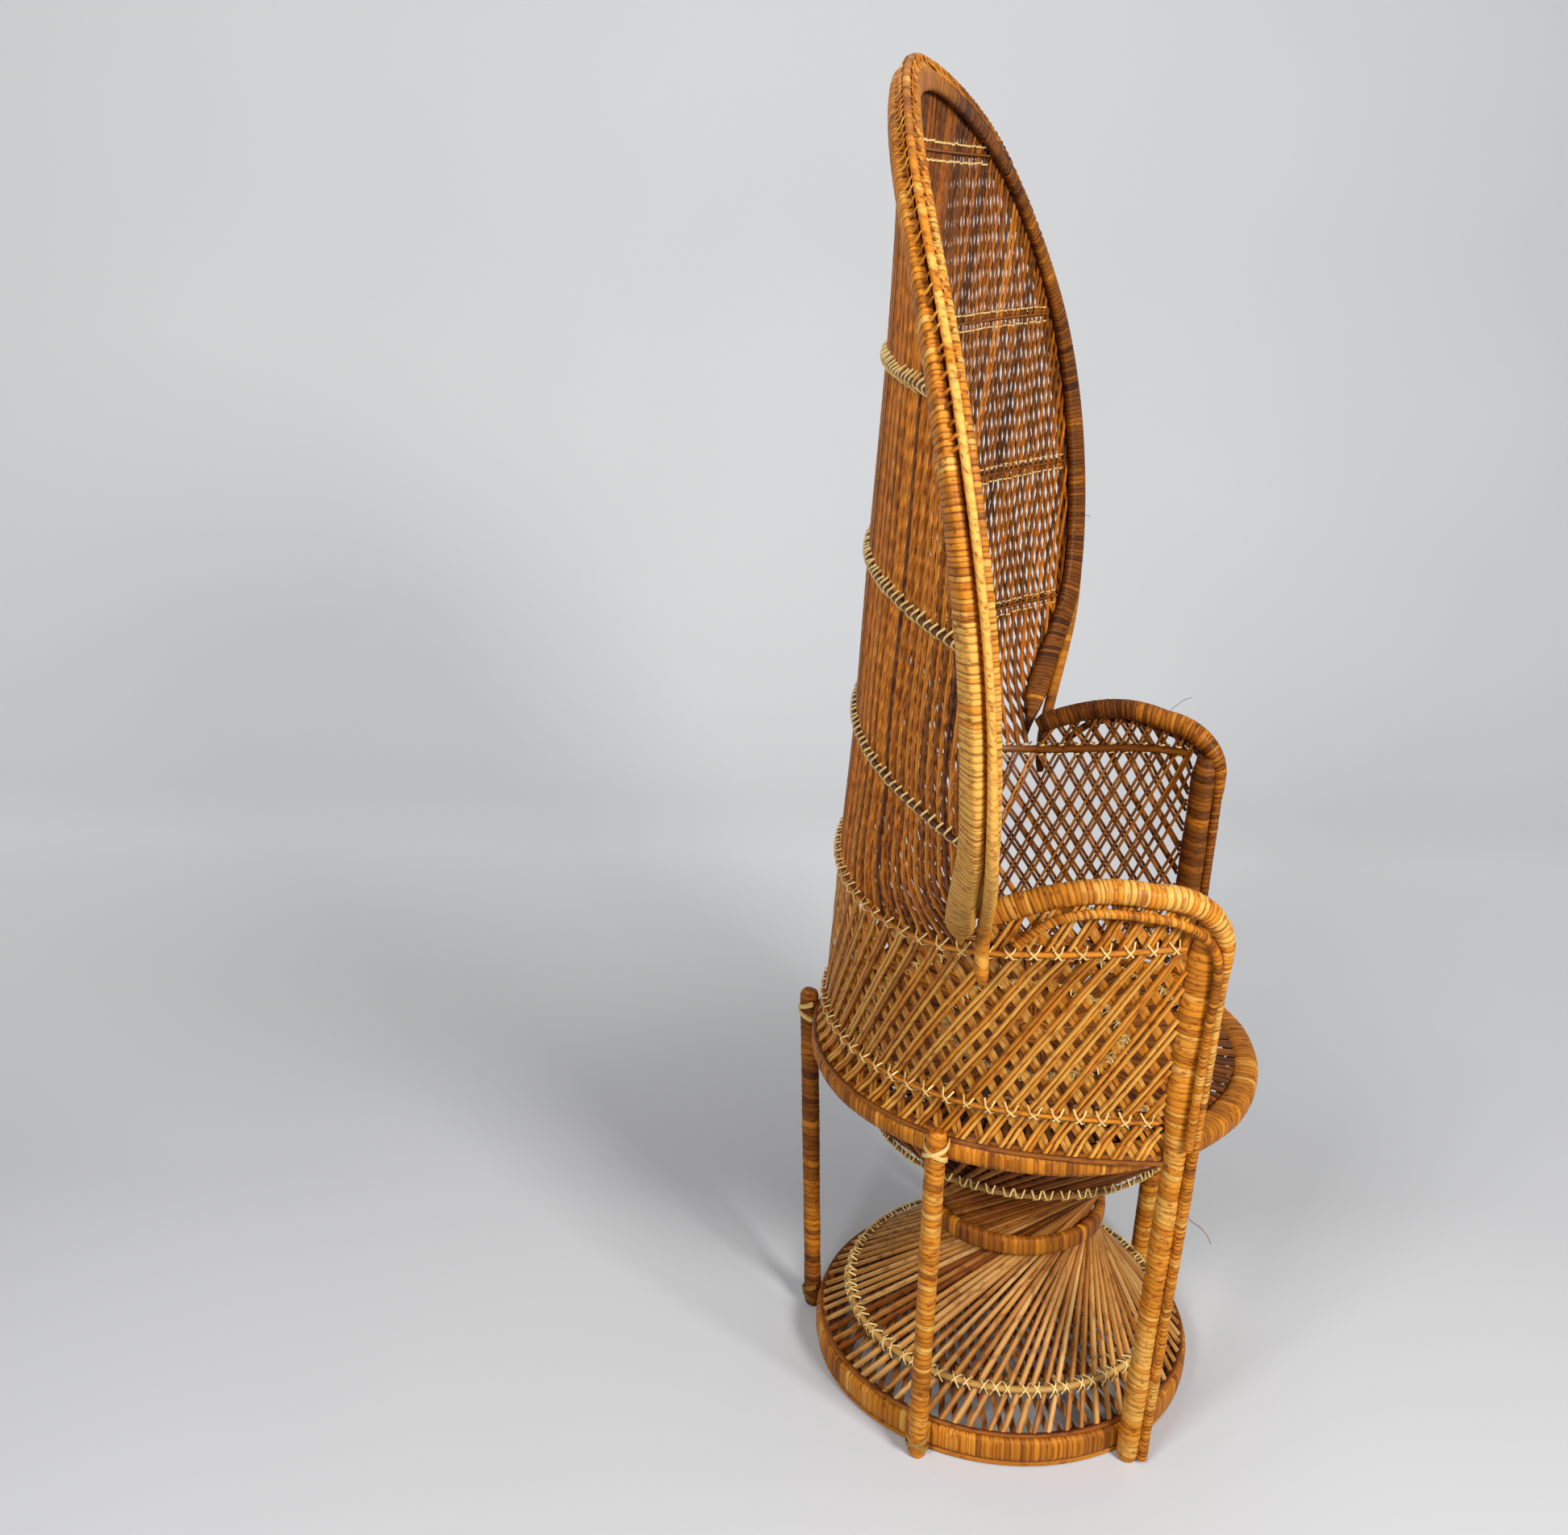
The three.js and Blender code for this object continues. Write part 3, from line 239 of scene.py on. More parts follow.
# Half of the level outline of the back, from the spine to the rim of the hood or to the arm post
def outline(z, has_arms):
    level = min(z, ARM_HOOP) if has_arms else z
    edge_x, edge_y = sample(EDGE[:, :2], level, EDGE[:, 2])
    spine = np.interp(level, SPINE[:, 2], SPINE[:, 1])
    flare = smooth(level, ARM_HOOP, HOOD_HOOPS[0])
    turn = np.linspace(0, math.pi / 2, OUTLINE_STEPS)
    rise = (1 - flare) * np.cos(turn) + flare * np.cos(turn) ** 2
    points = np.stack([edge_x * np.sin(turn), edge_y + (spine - edge_y) * rise], -1)
    if has_arms:
        end = wall_end(z)
        s = np.linspace(0, 1, OUTLINE_STEPS)[1:]
        arm = np.stack([end[0] + (edge_x - end[0]) * (1 - s * s), edge_y + (end[1] - edge_y) * s], -1)
        points = np.vstack([points, arm])
    return points, lengths(points)


# Surface of the back over share (-1 right end, 0 spine, 1 left end) and height
class Shell:
    ROWS, COLUMNS = 260, 281

    def __init__(self, low, high, has_arms):
        self.low, self.high = low, high
        u = np.linspace(0, 1, self.ROWS)
        self.z = low + (high - low) * (1 - (1 - u) ** 2)
        share = np.linspace(-1, 1, self.COLUMNS)
        self.half = np.zeros(self.ROWS)
        self.point = np.zeros((self.ROWS, self.COLUMNS, 3))
        for k, z in enumerate(self.z):
            points, run = outline(z, has_arms)
            self.half[k] = run[-1]
            flat = sample(points, np.abs(share) * run[-1], run)
            self.point[k] = np.stack([flat[:, 0] * np.sign(share), flat[:, 1], np.full(self.COLUMNS, z)], -1)
        rise, along = np.gradient(self.point, axis=(0, 1))
        self.normal = unit(np.cross(rise, along))

    def width(self, z):
        return np.interp(z, self.z, self.half)

    # Points and normals at shares and heights
    def at(self, share, z):
        share, z = np.broadcast_arrays(np.asarray(share, float), np.asarray(z, float))
        u = 1 - np.sqrt(np.clip(1 - (z - self.low) / (self.high - self.low), 0, 1))
        k = np.clip(u * (self.ROWS - 1), 0, self.ROWS - 1.001)
        j = np.clip((share + 1) / 2 * (self.COLUMNS - 1), 0, self.COLUMNS - 1.001)
        k0, j0 = k.astype(int), j.astype(int)
        a, b = (k - k0)[..., None], (j - j0)[..., None]

        def blend(grid):
            low = grid[k0, j0] * (1 - b) + grid[k0, j0 + 1] * b
            high = grid[k0 + 1, j0] * (1 - b) + grid[k0 + 1, j0 + 1] * b
            return low * (1 - a) + high * a
        return blend(self.point), unit(blend(self.normal))

    # Shares at which the surface passes closest to a straight line between two of its places, by height
    def straight(self, shares, heights):
        ends = self.at(shares[[0, -1]], heights[[0, -1]])[0]
        way = (heights - heights[0]) / (heights[-1] - heights[0])
        line = ends[0] + (ends[1] - ends[0]) * way[:, None]
        reach = 0.25 * np.ptp(shares) + 0.02
        tries = np.clip(shares[:, None] + np.linspace(-reach, reach, 161), -1, 1)
        surface = self.at(tries, np.broadcast_to(heights[:, None], tries.shape))[0]
        best = np.linalg.norm(surface - line[:, None], axis=2).argmin(1)
        near = tries[np.arange(len(heights)), best]
        near[[0, -1]] = shares[[0, -1]]
        return near


wall = Shell(RIM_TOP - 0.004, 0.740, True)
hood = Shell(ARM_HOOP - 0.002, HOOD_TOP - 0.0003, False)
arm_run = outline(ARM_HOOP, True)[1]
ARM_SHARE = arm_run[OUTLINE_STEPS - 1] / arm_run[-1]


# Share and height at an inset from places along the rim, given as shares of its length from left to right
def rim(place, inset):
    place = np.atleast_1d(np.asarray(place, float))
    side = np.where(place > 0.5, -1.0, 1.0)
    part = EDGE[np.searchsorted(EDGE[:, 2], ROLL_FOOT):]
    run = lengths(part)
    at = (1 - np.abs(2 * place - 1)) * run[-1]
    edge = sample(part, at, run)
    up = unit(sample(np.gradient(part, axis=0), at, run))
    near = 1 - 0.001 / np.maximum(hood.width(edge[:, 2]), 0.001)
    level = hood.at(near, edge[:, 2])[0] - hood.at(np.ones_like(near), edge[:, 2])[0]
    inward = np.where(np.linalg.norm(level, axis=1) > 1e-7, (up * unit(level)).sum(1), 1.0)
    inward = np.clip(inward, -1, 1)
    inward = np.where(np.abs(2 * place - 1) < 0.012, 1.0, inward)
    upward = np.sqrt(np.maximum(1 - inward ** 2, 1e-6))
    z = edge[:, 2] - inset * inward
    share = side * np.clip((hood.width(edge[:, 2]) - inset * upward) / np.maximum(hood.width(z), 1e-4), 0, 1)
    return share, z


# Share of the outline at which the weave meets the middle of the roll, by height
ROLL_MIDDLE = ROLL_INSET + ROLL_WIDTH / 2
rim_share, rim_height = rim(np.linspace(0, 0.5, 300), ROLL_MIDDLE)
rim_order = np.argsort(rim_height)


def hood_limit(z):
    inside = np.interp(z, rim_height[rim_order], rim_share[rim_order])
    return np.where(z > rim_height.max(), -1, inside)


# Builds one mesh from swept strands, with marks for tone and edge and a grain along each strand
class Piece:
    SHARP_ANGLE = math.radians(48)

    def __init__(self):
        self.points, self.faces, self.marks, self.grains, self.count = [], [], [], [], 0

    def add(self, points, tone, edge, grain, runs_round=False):
        m, n, k, _ = points.shape
        shape = (m, n, k)
        tone, edge = (np.broadcast_to(a, shape) for a in (tone, edge))
        grain = np.stack([np.broadcast_to(part, shape) for part in grain], -1)
        r = (n - 1) // 2
        first, second, ahead = points[:, r, 0], points[:, r, 1], points[:, r + 1, 0]
        facing = np.cross(second - first, ahead - first) * (first - points[:, r].mean(1))
        turned = facing.sum(-1) < 0
        order = np.where(turned[:, None], np.arange(k)[::-1], np.arange(k))
        rows = np.arange(m)[:, None]
        points, grain, edge = (a[rows, :, order].swapaxes(1, 2) for a in (points, grain, edge))
        index = self.count + np.arange(m * n * k).reshape(shape)
        here = index if runs_round else index[:, :-1]
        ahead = np.roll(index, -1, 1) if runs_round else index[:, 1:]
        quads = np.stack([here, np.roll(here, -1, 2), np.roll(ahead, -1, 2), ahead], -1)
        self.faces += quads.reshape(-1, 4).tolist()
        if not runs_round:
            self.faces += index[:, 0, ::-1].tolist() + index[:, -1].tolist()
        own = np.broadcast_to(rng.random((m, 1, 1)), shape)
        self.points.append(points.reshape(-1, 3))
        self.marks.append(np.stack([tone, edge, own, np.ones(shape)], -1).reshape(-1, 4))
        self.grains.append(grain.reshape(-1, 3))
        self.count += m * n * k

    def build(self, name, material, slot, *nodes):
        mesh = bpy.data.meshes.new(name)
        mesh.from_pydata((np.concatenate(self.points) + MIDDLE).tolist(), [], self.faces)
        marks = np.concatenate(self.marks).astype(np.float32)
        grains = np.concatenate(self.grains).astype(np.float32)
        mesh.attributes.new("strand", "FLOAT_COLOR", "POINT").data.foreach_set("color", marks.ravel())
        mesh.attributes.new("grain", "FLOAT_VECTOR", "POINT").data.foreach_set("vector", grains.ravel())
        mesh.polygons.foreach_set("use_smooth", np.ones(len(mesh.polygons), bool))
        mesh.set_sharp_from_angle(angle=self.SHARP_ANGLE)
        mesh.materials.append(material)
        thing = bpy.data.objects.new(name, mesh)
        bpy.context.scene.collection.objects.link(thing)
        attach(thing, "root")
        if nodes:
            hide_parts(*nodes)


# Sections of strands: across from -1 to 1 and out from -1 to 1
SPLIT_CANE = np.array([(-1, -0.8), (1, -0.8), (0.82, 0.45), (0, 1), (-0.82, 0.45)])
FLAT_PEEL = np.array([(-1, -1), (1, -1), (0.9, 0.6), (-0.9, 0.6)])
ROUND_ROD = np.stack([np.cos(turns(8)), np.sin(turns(8))], -1)
GRAIN_SPREAD = 50


# Strands of one section along paths[strand, station], lying square to the normals, with darker edges: painted
# shade on their flanks and underside, with some stain in the gaps
def strands(piece, paths, normals, half_width, half_thickness, section, tone, runs_round=False):
    if runs_round:
        tangent = unit(np.roll(paths, -1, 1) - np.roll(paths, 1, 1))
    else:
        tangent = unit(np.gradient(paths, axis=1))
    across = unit(np.cross(tangent, normals))
    out = np.cross(across, tangent)
    wide = np.broadcast_to(half_width, paths.shape[:2])[..., None, None]
    thick = np.broadcast_to(half_thickness, paths.shape[:2])[..., None, None]
    points = paths[:, :, None] + across[:, :, None] * wide * section[:, :1]
    points = points + out[:, :, None] * thick * section[:, 1:]
    tone = np.asarray(tone, float)
    tone = tone[:, None, None] if tone.ndim == 1 else tone
    step = np.linalg.norm(np.diff(paths, axis=1), axis=2)
    run = np.concatenate([np.zeros((len(paths), 1)), np.cumsum(step, 1)], 1)
    seed = rng.random((len(paths), 1)) * GRAIN_SPREAD
    grain = ((run + seed)[..., None], wide[..., 0] * section[:, 0], seed[..., None])
    # Edge marks: painted shade, darkest on the flanks, weaker underneath, none on the ridge
    edge = np.abs(section[:, 0]) ** 3 * np.where(section[:, 1] < -0.5, 0.3, section[:, 1] < 0.5)
    piece.add(points, tone, edge, grain, runs_round)


# One rod along a path, open or closed
def rod(piece, path, normal, half_width, half_thickness, tone, runs_round=False):
    strands(piece, path[None], normal[None], half_width, half_thickness, ROUND_ROD, tone, runs_round)


# Directions across and out of a path, carried along it without twist
def carried_frames(path):
    tangent = unit(np.gradient(path, axis=0))
    normal = UP if abs(tangent[0, 2]) < 0.9 else np.array([1.0, 0, 0])
    across = np.zeros_like(path)
    out = np.zeros_like(path)
    for i, t in enumerate(tangent):
        normal = unit(normal - t * normal.dot(t))
        out[i] = normal
        across[i] = np.cross(t, normal)
    return across, out


# Stations over one turn of peel: their places, heights and edge marks
TURN_PLACES = np.array([0.03, 0.24, 0.76, 0.97])
TURN_HEIGHTS = np.array([0.0, 1.0, 1.0, 0.0])
TURN_EDGES = np.array([1.0, 0.08, 0.08, 1.0])
LUMP_LENGTH = 0.035


# Core bound round and round with peel: each turn has its own width, lift, tilt and tone
def wrapped(name, node, path, half_across, half_out, across=None, out=None, *, turn, slant, tone,
            ridge=0.0003, sides=16, power=2.0, closed=False, lumps=0.0, lines=1.0):
    if across is None:
        across, out = carried_frames(path)
    if closed:
        path, across, out = (np.vstack([a, a[:1]]) for a in (path, across, out))
    run = lengths(path)
    whole = run[-1]
    count = max(3, int(whole / turn))
    widths = rng.uniform(0.62, 1.38, count)
    widths *= whole / widths.sum()
    starts = np.cumsum(widths) - widths
    rings = (starts[:, None] + widths[:, None] * TURN_PLACES).ravel()
    tilt = rng.uniform(-0.7, 1.1, (count, 1))
    lift = ridge * rng.uniform(0.55, 1.5, (count, 1)) * TURN_HEIGHTS * (1 + tilt * (TURN_PLACES - 0.5))
    angle = turns(sides)
    lean = np.repeat(slant * rng.uniform(0.5, 1.5, count), 4)
    at = rings[:, None] + lean[:, None] * np.cos(angle + 0.6)
    at = np.mod(at, whole) if closed else np.clip(at, 0, whole)
    p, a, o = (sample(t, at, run) for t in (path, across, out))
    knots = np.linspace(0, whole, max(4, int(whole / LUMP_LENGTH)))
    swell = np.interp(rings, knots, rng.normal(0, 1, len(knots))) * lumps
    bulge = lift.reshape(-1, 1) + swell[:, None]
    c, s = (np.sign(v) * np.abs(v) ** (2 / power) for v in (np.cos(angle), np.sin(angle)))
    points = p + a * ((follow(half_across, at, run) + bulge) * c)[..., None]
    points = points + o * ((follow(half_out, at, run) + bulge) * s)[..., None]
    drift = np.interp(rings, knots, rng.normal(0, 0.07, len(knots)))
    odd = rng.choice([0, -0.18, 0.14], count, p=[0.82, 0.1, 0.08]) + rng.normal(0, 0.07, count)
    tones = follow(tone, rings, run) + drift + np.repeat(odd, 4)
    seed = np.repeat(rng.random(count) * GRAIN_SPREAD, 4)[:, None]
    grain = (np.abs(angle - math.pi) * np.max(half_across) + seed, rings[:, None], seed)
    edge = (lines * rng.uniform(0.45, 1.0, (count, 1)) * TURN_EDGES).reshape(-1, 1)
    piece = Piece()
    piece.add(points[None], tones[None, :, None], edge[None], grain, closed)
    piece.build(name, peel, "peel", node)


# Node tree with short ways to add nodes and to set or link their sockets
class Nodes:
    def __init__(self, owner):
        owner.use_nodes = True
        self.tree = owner.node_tree

    def fill(self, node, sockets):
        for key, value in sockets.items():
            if isinstance(value, bpy.types.NodeSocket):
                self.tree.links.new(value, node.inputs[key])
            else:
                node.inputs[key].default_value = value

    def add(self, kind, sockets=None, **settings):
        made = self.tree.nodes.new("ShaderNode" + kind)
        for key, value in settings.items():
            setattr(made, key, value)
        self.fill(made, sockets or {})
        return made

    def maths(self, operation, first, second, clamp=False):
        return self.add("Math", {0: first, 1: second}, operation=operation, use_clamp=clamp).outputs[0]

    def spread(self, value, start, end, low=0.0, high=1.0):
        sockets = {"Value": value, "From Min": start, "From Max": end, "To Min": low, "To Max": high}
        return self.add("MapRange", sockets).outputs[0]

    def mix(self, blend, factor, first, second):
        sockets = {0: factor, 6: first, 7: second}
        return self.add("Mix", sockets, data_type="RGBA", blend_type=blend).outputs[2]

    def noise(self, vector, stretch, detail):
        mapping = self.add("Mapping", {"Vector": vector, "Scale": stretch})
        sockets = {"Vector": mapping.outputs[0], "Scale": 1.0, "Detail": detail}
        return self.add("TexNoise", sockets).outputs["Fac"]

    def ramp(self, value, colours):
        made = self.add("ValToRGB", {0: value})
        elements = made.color_ramp.elements
        elements[0].color = colours[0] + (1,)
        elements[1].color = colours[-1] + (1,)
        for i, colour in enumerate(colours[1:-1]):
            elements.new((i + 1) / (len(colours) - 1)).color = colour + (1,)
        return made.outputs[0]

    # Rays that see the background: straight from the camera, in a gloss or through something clear
    def background_rays(self):
        light_path = self.add("LightPath")
        rays = light_path.outputs["Is Camera Ray"]
        for name in ("Is Glossy Ray", "Is Transmission Ray"):
            rays = self.maths("MAXIMUM", rays, light_path.outputs[name])
        return rays


PATCH_SPREAD = 0.34
EDGE_STRENGTH = 0.9
EDGE_DEPTH = 0.45


# Split cane or peel, coloured by tone, streaked along its grain, mottled, and darkened along its edges: a
# real stain in the joints between turns of peel, and painted shade, with some stain, on the flanks of canes,
# rods and stitches
def rattan(name, colours, stain_and_shade, roughness, coat, streak, mottle=0.66, spots=(60, 160, 1)):
    material = bpy.data.materials.new(name)
    nodes = Nodes(material)
    nodes.tree.nodes.clear()
    marks = nodes.add("SeparateColor", {0: nodes.add("Attribute", attribute_name="strand").outputs["Color"]})
    tone, edge = marks.outputs[0], marks.outputs[1]
    grain = nodes.add("Attribute", attribute_name="grain").outputs["Vector"]
    patches = nodes.noise(nodes.add("TexCoord").outputs["Object"], (7, 7, 7), 2.0)
    blotch = nodes.noise(grain, spots, 3.0)
    fibre = nodes.noise(grain, (25, 2600, 1), 2.0)
    shade = nodes.maths("ADD", tone, nodes.maths("MULTIPLY", patches, PATCH_SPREAD, True), True)
    shade = nodes.maths("SUBTRACT", shade, PATCH_SPREAD / 2, True)
    colour = nodes.ramp(shade, colours)
    streaks = nodes.spread(fibre, 0.52, 0.78)
    stains = nodes.spread(blotch, 0.52, 0.68)
    # Edge darkening: a real stain in the joints of peel, and painted shade on the flanks of strands
    edge_stain_and_shade = tuple(EDGE_DEPTH * c for c in stain_and_shade)
    layers = ((streaks, streak, stain_and_shade), (stains, mottle, stain_and_shade), (edge, EDGE_STRENGTH, edge_stain_and_shade))
    for where, strength, tint in layers:
        share = nodes.maths("MULTIPLY", where, strength, True)
        colour = nodes.mix("MULTIPLY", share, colour, tint + (1,))
    bump = nodes.add("Bump", {"Strength": 0.25, "Distance": 0.0006, "Height": fibre})
    surface = nodes.add("BsdfPrincipled", {
        "Base Color": colour,
        "Roughness": nodes.spread(blotch, 0.0, 1.0, roughness - 0.1, roughness + 0.14),
        "Specular IOR Level": 0.15,
        "Coat Weight": coat,
        "Coat Roughness": 0.24,
        "Normal": bump.outputs[0],
    })
    nodes.add("OutputMaterial", {"Surface": surface.outputs[0]})
    return material


DARK, BROWN = (0.075, 0.022, 0.003), (0.31, 0.098, 0.008)
HONEY, GOLD = (0.72, 0.265, 0.018), (0.94, 0.63, 0.16)
HOOD_COLOURS = [(0.045, 0.012, 0.002), (0.30, 0.098, 0.012), (0.73, 0.215, 0.013), (0.97, 0.43, 0.065)]
DRY_COLOURS = [(0.07, 0.026, 0.005), (0.32, 0.085, 0.008), (0.64, 0.30, 0.07), (0.86, 0.55, 0.21)]
BINDING_COLOURS = [(0.12, 0.045, 0.008), (0.38, 0.19, 0.04), (0.76, 0.50, 0.16), (0.95, 0.74, 0.34)]
STAIN_AND_SHADE = (0.36, 0.13, 0.03)
POLE_COLOURS = [DARK, BROWN, HONEY, GOLD]
CANE_COLOURS = [DARK, BROWN, HONEY, (0.96, 0.58, 0.13)]
DRY_STAIN_AND_SHADE = (0.34, 0.16, 0.06)
BINDING_STAIN_AND_SHADE = (0.5, 0.28, 0.10)
peel = rattan("peel_rattan", POLE_COLOURS, STAIN_AND_SHADE, roughness=0.52, coat=0.06, streak=0.6, mottle=0.8,
              spots=(110, 270, 1))
cane = rattan("cane_rattan", CANE_COLOURS, STAIN_AND_SHADE, roughness=0.46, coat=0.12, streak=0.6)
hood_cane = rattan("hood_cane_rattan", HOOD_COLOURS, STAIN_AND_SHADE, roughness=0.46, coat=0.03, streak=0.8)
dry_cane = rattan("dry_cane_rattan", DRY_COLOURS, DRY_STAIN_AND_SHADE, roughness=0.6, coat=0.05, streak=0.6)
binding = rattan("binding_rattan", BINDING_COLOURS, BINDING_STAIN_AND_SHADE, roughness=0.5, coat=0.08, streak=0.4)
pole = rattan("pole_rattan", POLE_COLOURS, STAIN_AND_SHADE, roughness=0.5, coat=0.1, streak=0.5)

STITCH_WIDTH = 0.0009
STITCH_THICKNESS = 0.0005


# Flat stitches of peel, each with a tone of its own
def stitch_strands(piece, paths, face, half_width, tone, spread):
    tone = tone + rng.normal(0, spread, len(paths))
    strands(piece, paths, face, half_width, STITCH_THICKNESS, FLAT_PEEL, tone)


# Pale crossed stitches over a rod: centres with the directions along the rod, up and out
def crossed_stitches(piece, centres, along, up, out, reach_along, reach_up, top, tone=0.88):
    s = np.linspace(-1, 1, 9)
    level = 1 - smooth(np.abs(s), 0.45, 1.0)
    for side in (-1, 1):
        wobble = rng.uniform(0.82, 1.18, (len(centres), 2, 1, 1))
        lift = top * level + (STITCH_THICKNESS if side > 0 else 0) * level
        paths = (centres[:, None]
                 + along[:, None] * (side * reach_along * s)[None, :, None] * wobble[:, 0]
                 + up[:, None] * (reach_up * s)[None, :, None] * wobble[:, 1]
                 + out[:, None] * lift[None, :, None])
        stitch_strands(piece, paths, out[:, None], STITCH_WIDTH, tone, 0.1)


# Line of a hoop on the back; the arm hoop rises to the front, most of all on the left side
def hoop_line(shell, z, end):
    share = np.linspace(-end, end, HOOP_STEPS)
    level = np.full(HOOP_STEPS, z)
    if z == ARM_HOOP:
        for side, rise in ARM_HOOP_RISES.items():
            level += rise * smooth(side * share, ARM_SHARE * 0.9, 1.0)
    return shell.at(share, level)


# Places of stitches along a hoop, with the directions along it, up and out
def stitch_places(at, normal, hoop, pitch):
    run = lengths(hoop)
    count = int(run[-1] / pitch)
    places = middles(count) * run[-1]
    out = unit(sample(normal, places, run))
    along = unit(sample(np.gradient(hoop, axis=0), places, run))
    up = unit(np.cross(out, along))
    up *= np.sign(up[:, 2:])
    return sample(at, places, run) + out * 0.001, along, up, out


# Outside of a wall hoop: a rod under crossed stitches
def stitched_hoop(rods, stitches, z, end):
    offset = 0.0056
    at, normal = hoop_line(wall, z, end)
    hoop = at + normal * offset
    rod(rods, hoop, normal, 0.0031, 0.0019, 0.62)
    places = stitch_places(at, normal, hoop, WALL_PITCH)
    crossed_stitches(stitches, *places, WALL_PITCH * 0.30, 0.0072, offset + 0.0018)


# Outside of a hood hoop: a dark rod under pale slanting fins, with a finer thread below
def finned_hoop(rods, stitches, z, end):
    at, normal = hoop_line(hood, z, end)
    hoop = at + normal * 0.0040
    rod(rods, hoop, normal, 0.0036, 0.0022, 0.08)
    centre, along, up, out = stitch_places(at, normal, hoop, HOOD_PITCH * 1.3)
    s = np.linspace(0, 1, 8)
    lift = np.interp(s, [0, 0.35, 0.6, 1], [0.0062, 0.0062, 0.0046, 0.0008])
    for drift, rise, wide, tone in ((-0.0060, 0.0080, 0.0011, 0.92), (-0.0044, -0.0066, 0.0006, 0.66)):
        wobble = rng.uniform(0.65, 1.3, (len(centre), 1, 1))
        paths = (centre[:, None] + along[:, None] * ((s - 0.4) * drift)[None, :, None] * wobble
                 + up[:, None] * (s * rise - 0.1 * rise)[None, :, None] * wobble
                 + out[:, None] * lift[None, :, None])
        stitch_strands(stitches, paths, out[:, None], wide, tone, 0.1)


# Inside of a hoop: a rod between two rows of dashed thread
def thread_hoop(rods, stitches, shell, z, end, pitch, half_height=0.0014, offset=0.0032,
                spread=0.0085, tone=0.34):
    at, normal = hoop_line(shell, z, end)
    rod(rods, at - normal * offset, -normal, half_height, 0.0016, tone)
    run = lengths(at)
    count = int(run[-1] / pitch)
    s = np.linspace(-1, 1, 7)
    for row in (-1, 1):
        places = (np.arange(count) + 0.5 + rng.uniform(-0.12, 0.12, count)) / count * run[-1]
        fine = np.clip(places[:, None] + 0.0034 * s, 0, run[-1])
        face = -unit(sample(normal, fine, run))
        rise = row * spread + rng.normal(0, 0.0004, (count, 1)) + 0.0006 * s
        lift = (offset + 0.0006 - 0.0024 * s ** 2)[None, :, None]
        dash = sample(at, fine, run) + face * lift + UP * rise[..., None]
        stitch_strands(stitches, dash, face, STITCH_WIDTH, 0.84, 0.08)


# Arm rail of the left side: over the wall, then bent down to the front of the post
RAIL_FORWARD = unit([0.25, -0.97, 0])


def arm_place(s, z, outside=0.0):
    share = ARM_SHARE + (1 - ARM_SHARE) * np.asarray(s, float)
    at, normal = wall.at(share, np.asarray(z, float))
    return at + normal * outside


def rail_swell(s):
    return SEAT + 0.252 + 0.038 * np.sin(math.pi * (0.06 + 0.78 * np.asarray(s, float)))


def rail_front(z):
    return FRONT_LEG(z) + RAIL_FORWARD * (LEG_RADIUS + ROD_RADIUS - 0.0014)


BEND_START = arm_place(RAIL_BEND_START, rail_swell(RAIL_BEND_START))
BEND_FOOT = BEND_START[2] - RAIL_BEND_DROP
to_wall_end = wall_end(BEND_START[2]) - BEND_START
to_rail_front = rail_front(BEND_START[2]) - BEND_START
BEND_SHARE = np.linalg.norm(to_wall_end[:2]) / np.linalg.norm(to_rail_front[:2])


def bend_height(share):
    return BEND_FOOT + RAIL_BEND_DROP * np.sqrt(np.clip(1 - np.asarray(share, float) ** 2, 0, 1))


def rail_bend(share):
    share = np.asarray(share, float)[:, None]
    p = BEND_START * (1 - share) + rail_front(BEND_FOOT) * share
    p[:, 2] = bend_height(share[:, 0])
    return p


def rail_height(s):
    bent = np.clip((np.asarray(s, float) - RAIL_BEND_START) / (1 - RAIL_BEND_START), 0, 1)
    return np.where(bent > 0, bend_height(bent * BEND_SHARE), rail_swell(s))


# Blend from a value on the near (right) side of the chair to one on its far (left) side; in tones this paints
# shade, mostly darkening the far side
def near_to_far(x, pale, dark):
    return pale + (dark - pale) * smooth(x, -0.08, 0.24)


def wall_top(share):
    s = np.clip((np.abs(share) - ARM_SHARE) / (1 - ARM_SHARE), 0, 1)
    return np.where(np.abs(share) <= ARM_SHARE, ARM_HOOP + 0.004, rail_height(s) - RAIL_RADIUS + 0.003)


# Heights and shares along each stretch of a cane that is inside and not shorter than a least height
def stretches(inside, z, share, least, steps):
    edges = np.flatnonzero(np.diff(np.concatenate([[0], inside.astype(int), [0]])))
    for first, last in zip(edges[::2], edges[1::2] - 1):
        if z[last] - z[first] >= least:
            heights = np.linspace(z[first], z[last], steps)
            yield heights, np.interp(heights, z, share)


# Share of the space between two layers that is left where hoops draw their canes in
def drawn_in(heights, hoops, depth):
    left = np.ones(len(heights))
    for level in hoops:
        left -= depth * np.exp(-((heights - level) / HOOP_DRAW) ** 2)
    return left


def build_weave(piece, form, direction, material):
    layer = form + "_" + LAYER_NAMES[direction]
    piece.build(layer + "_weave", material, "cane", layer + "_canes")


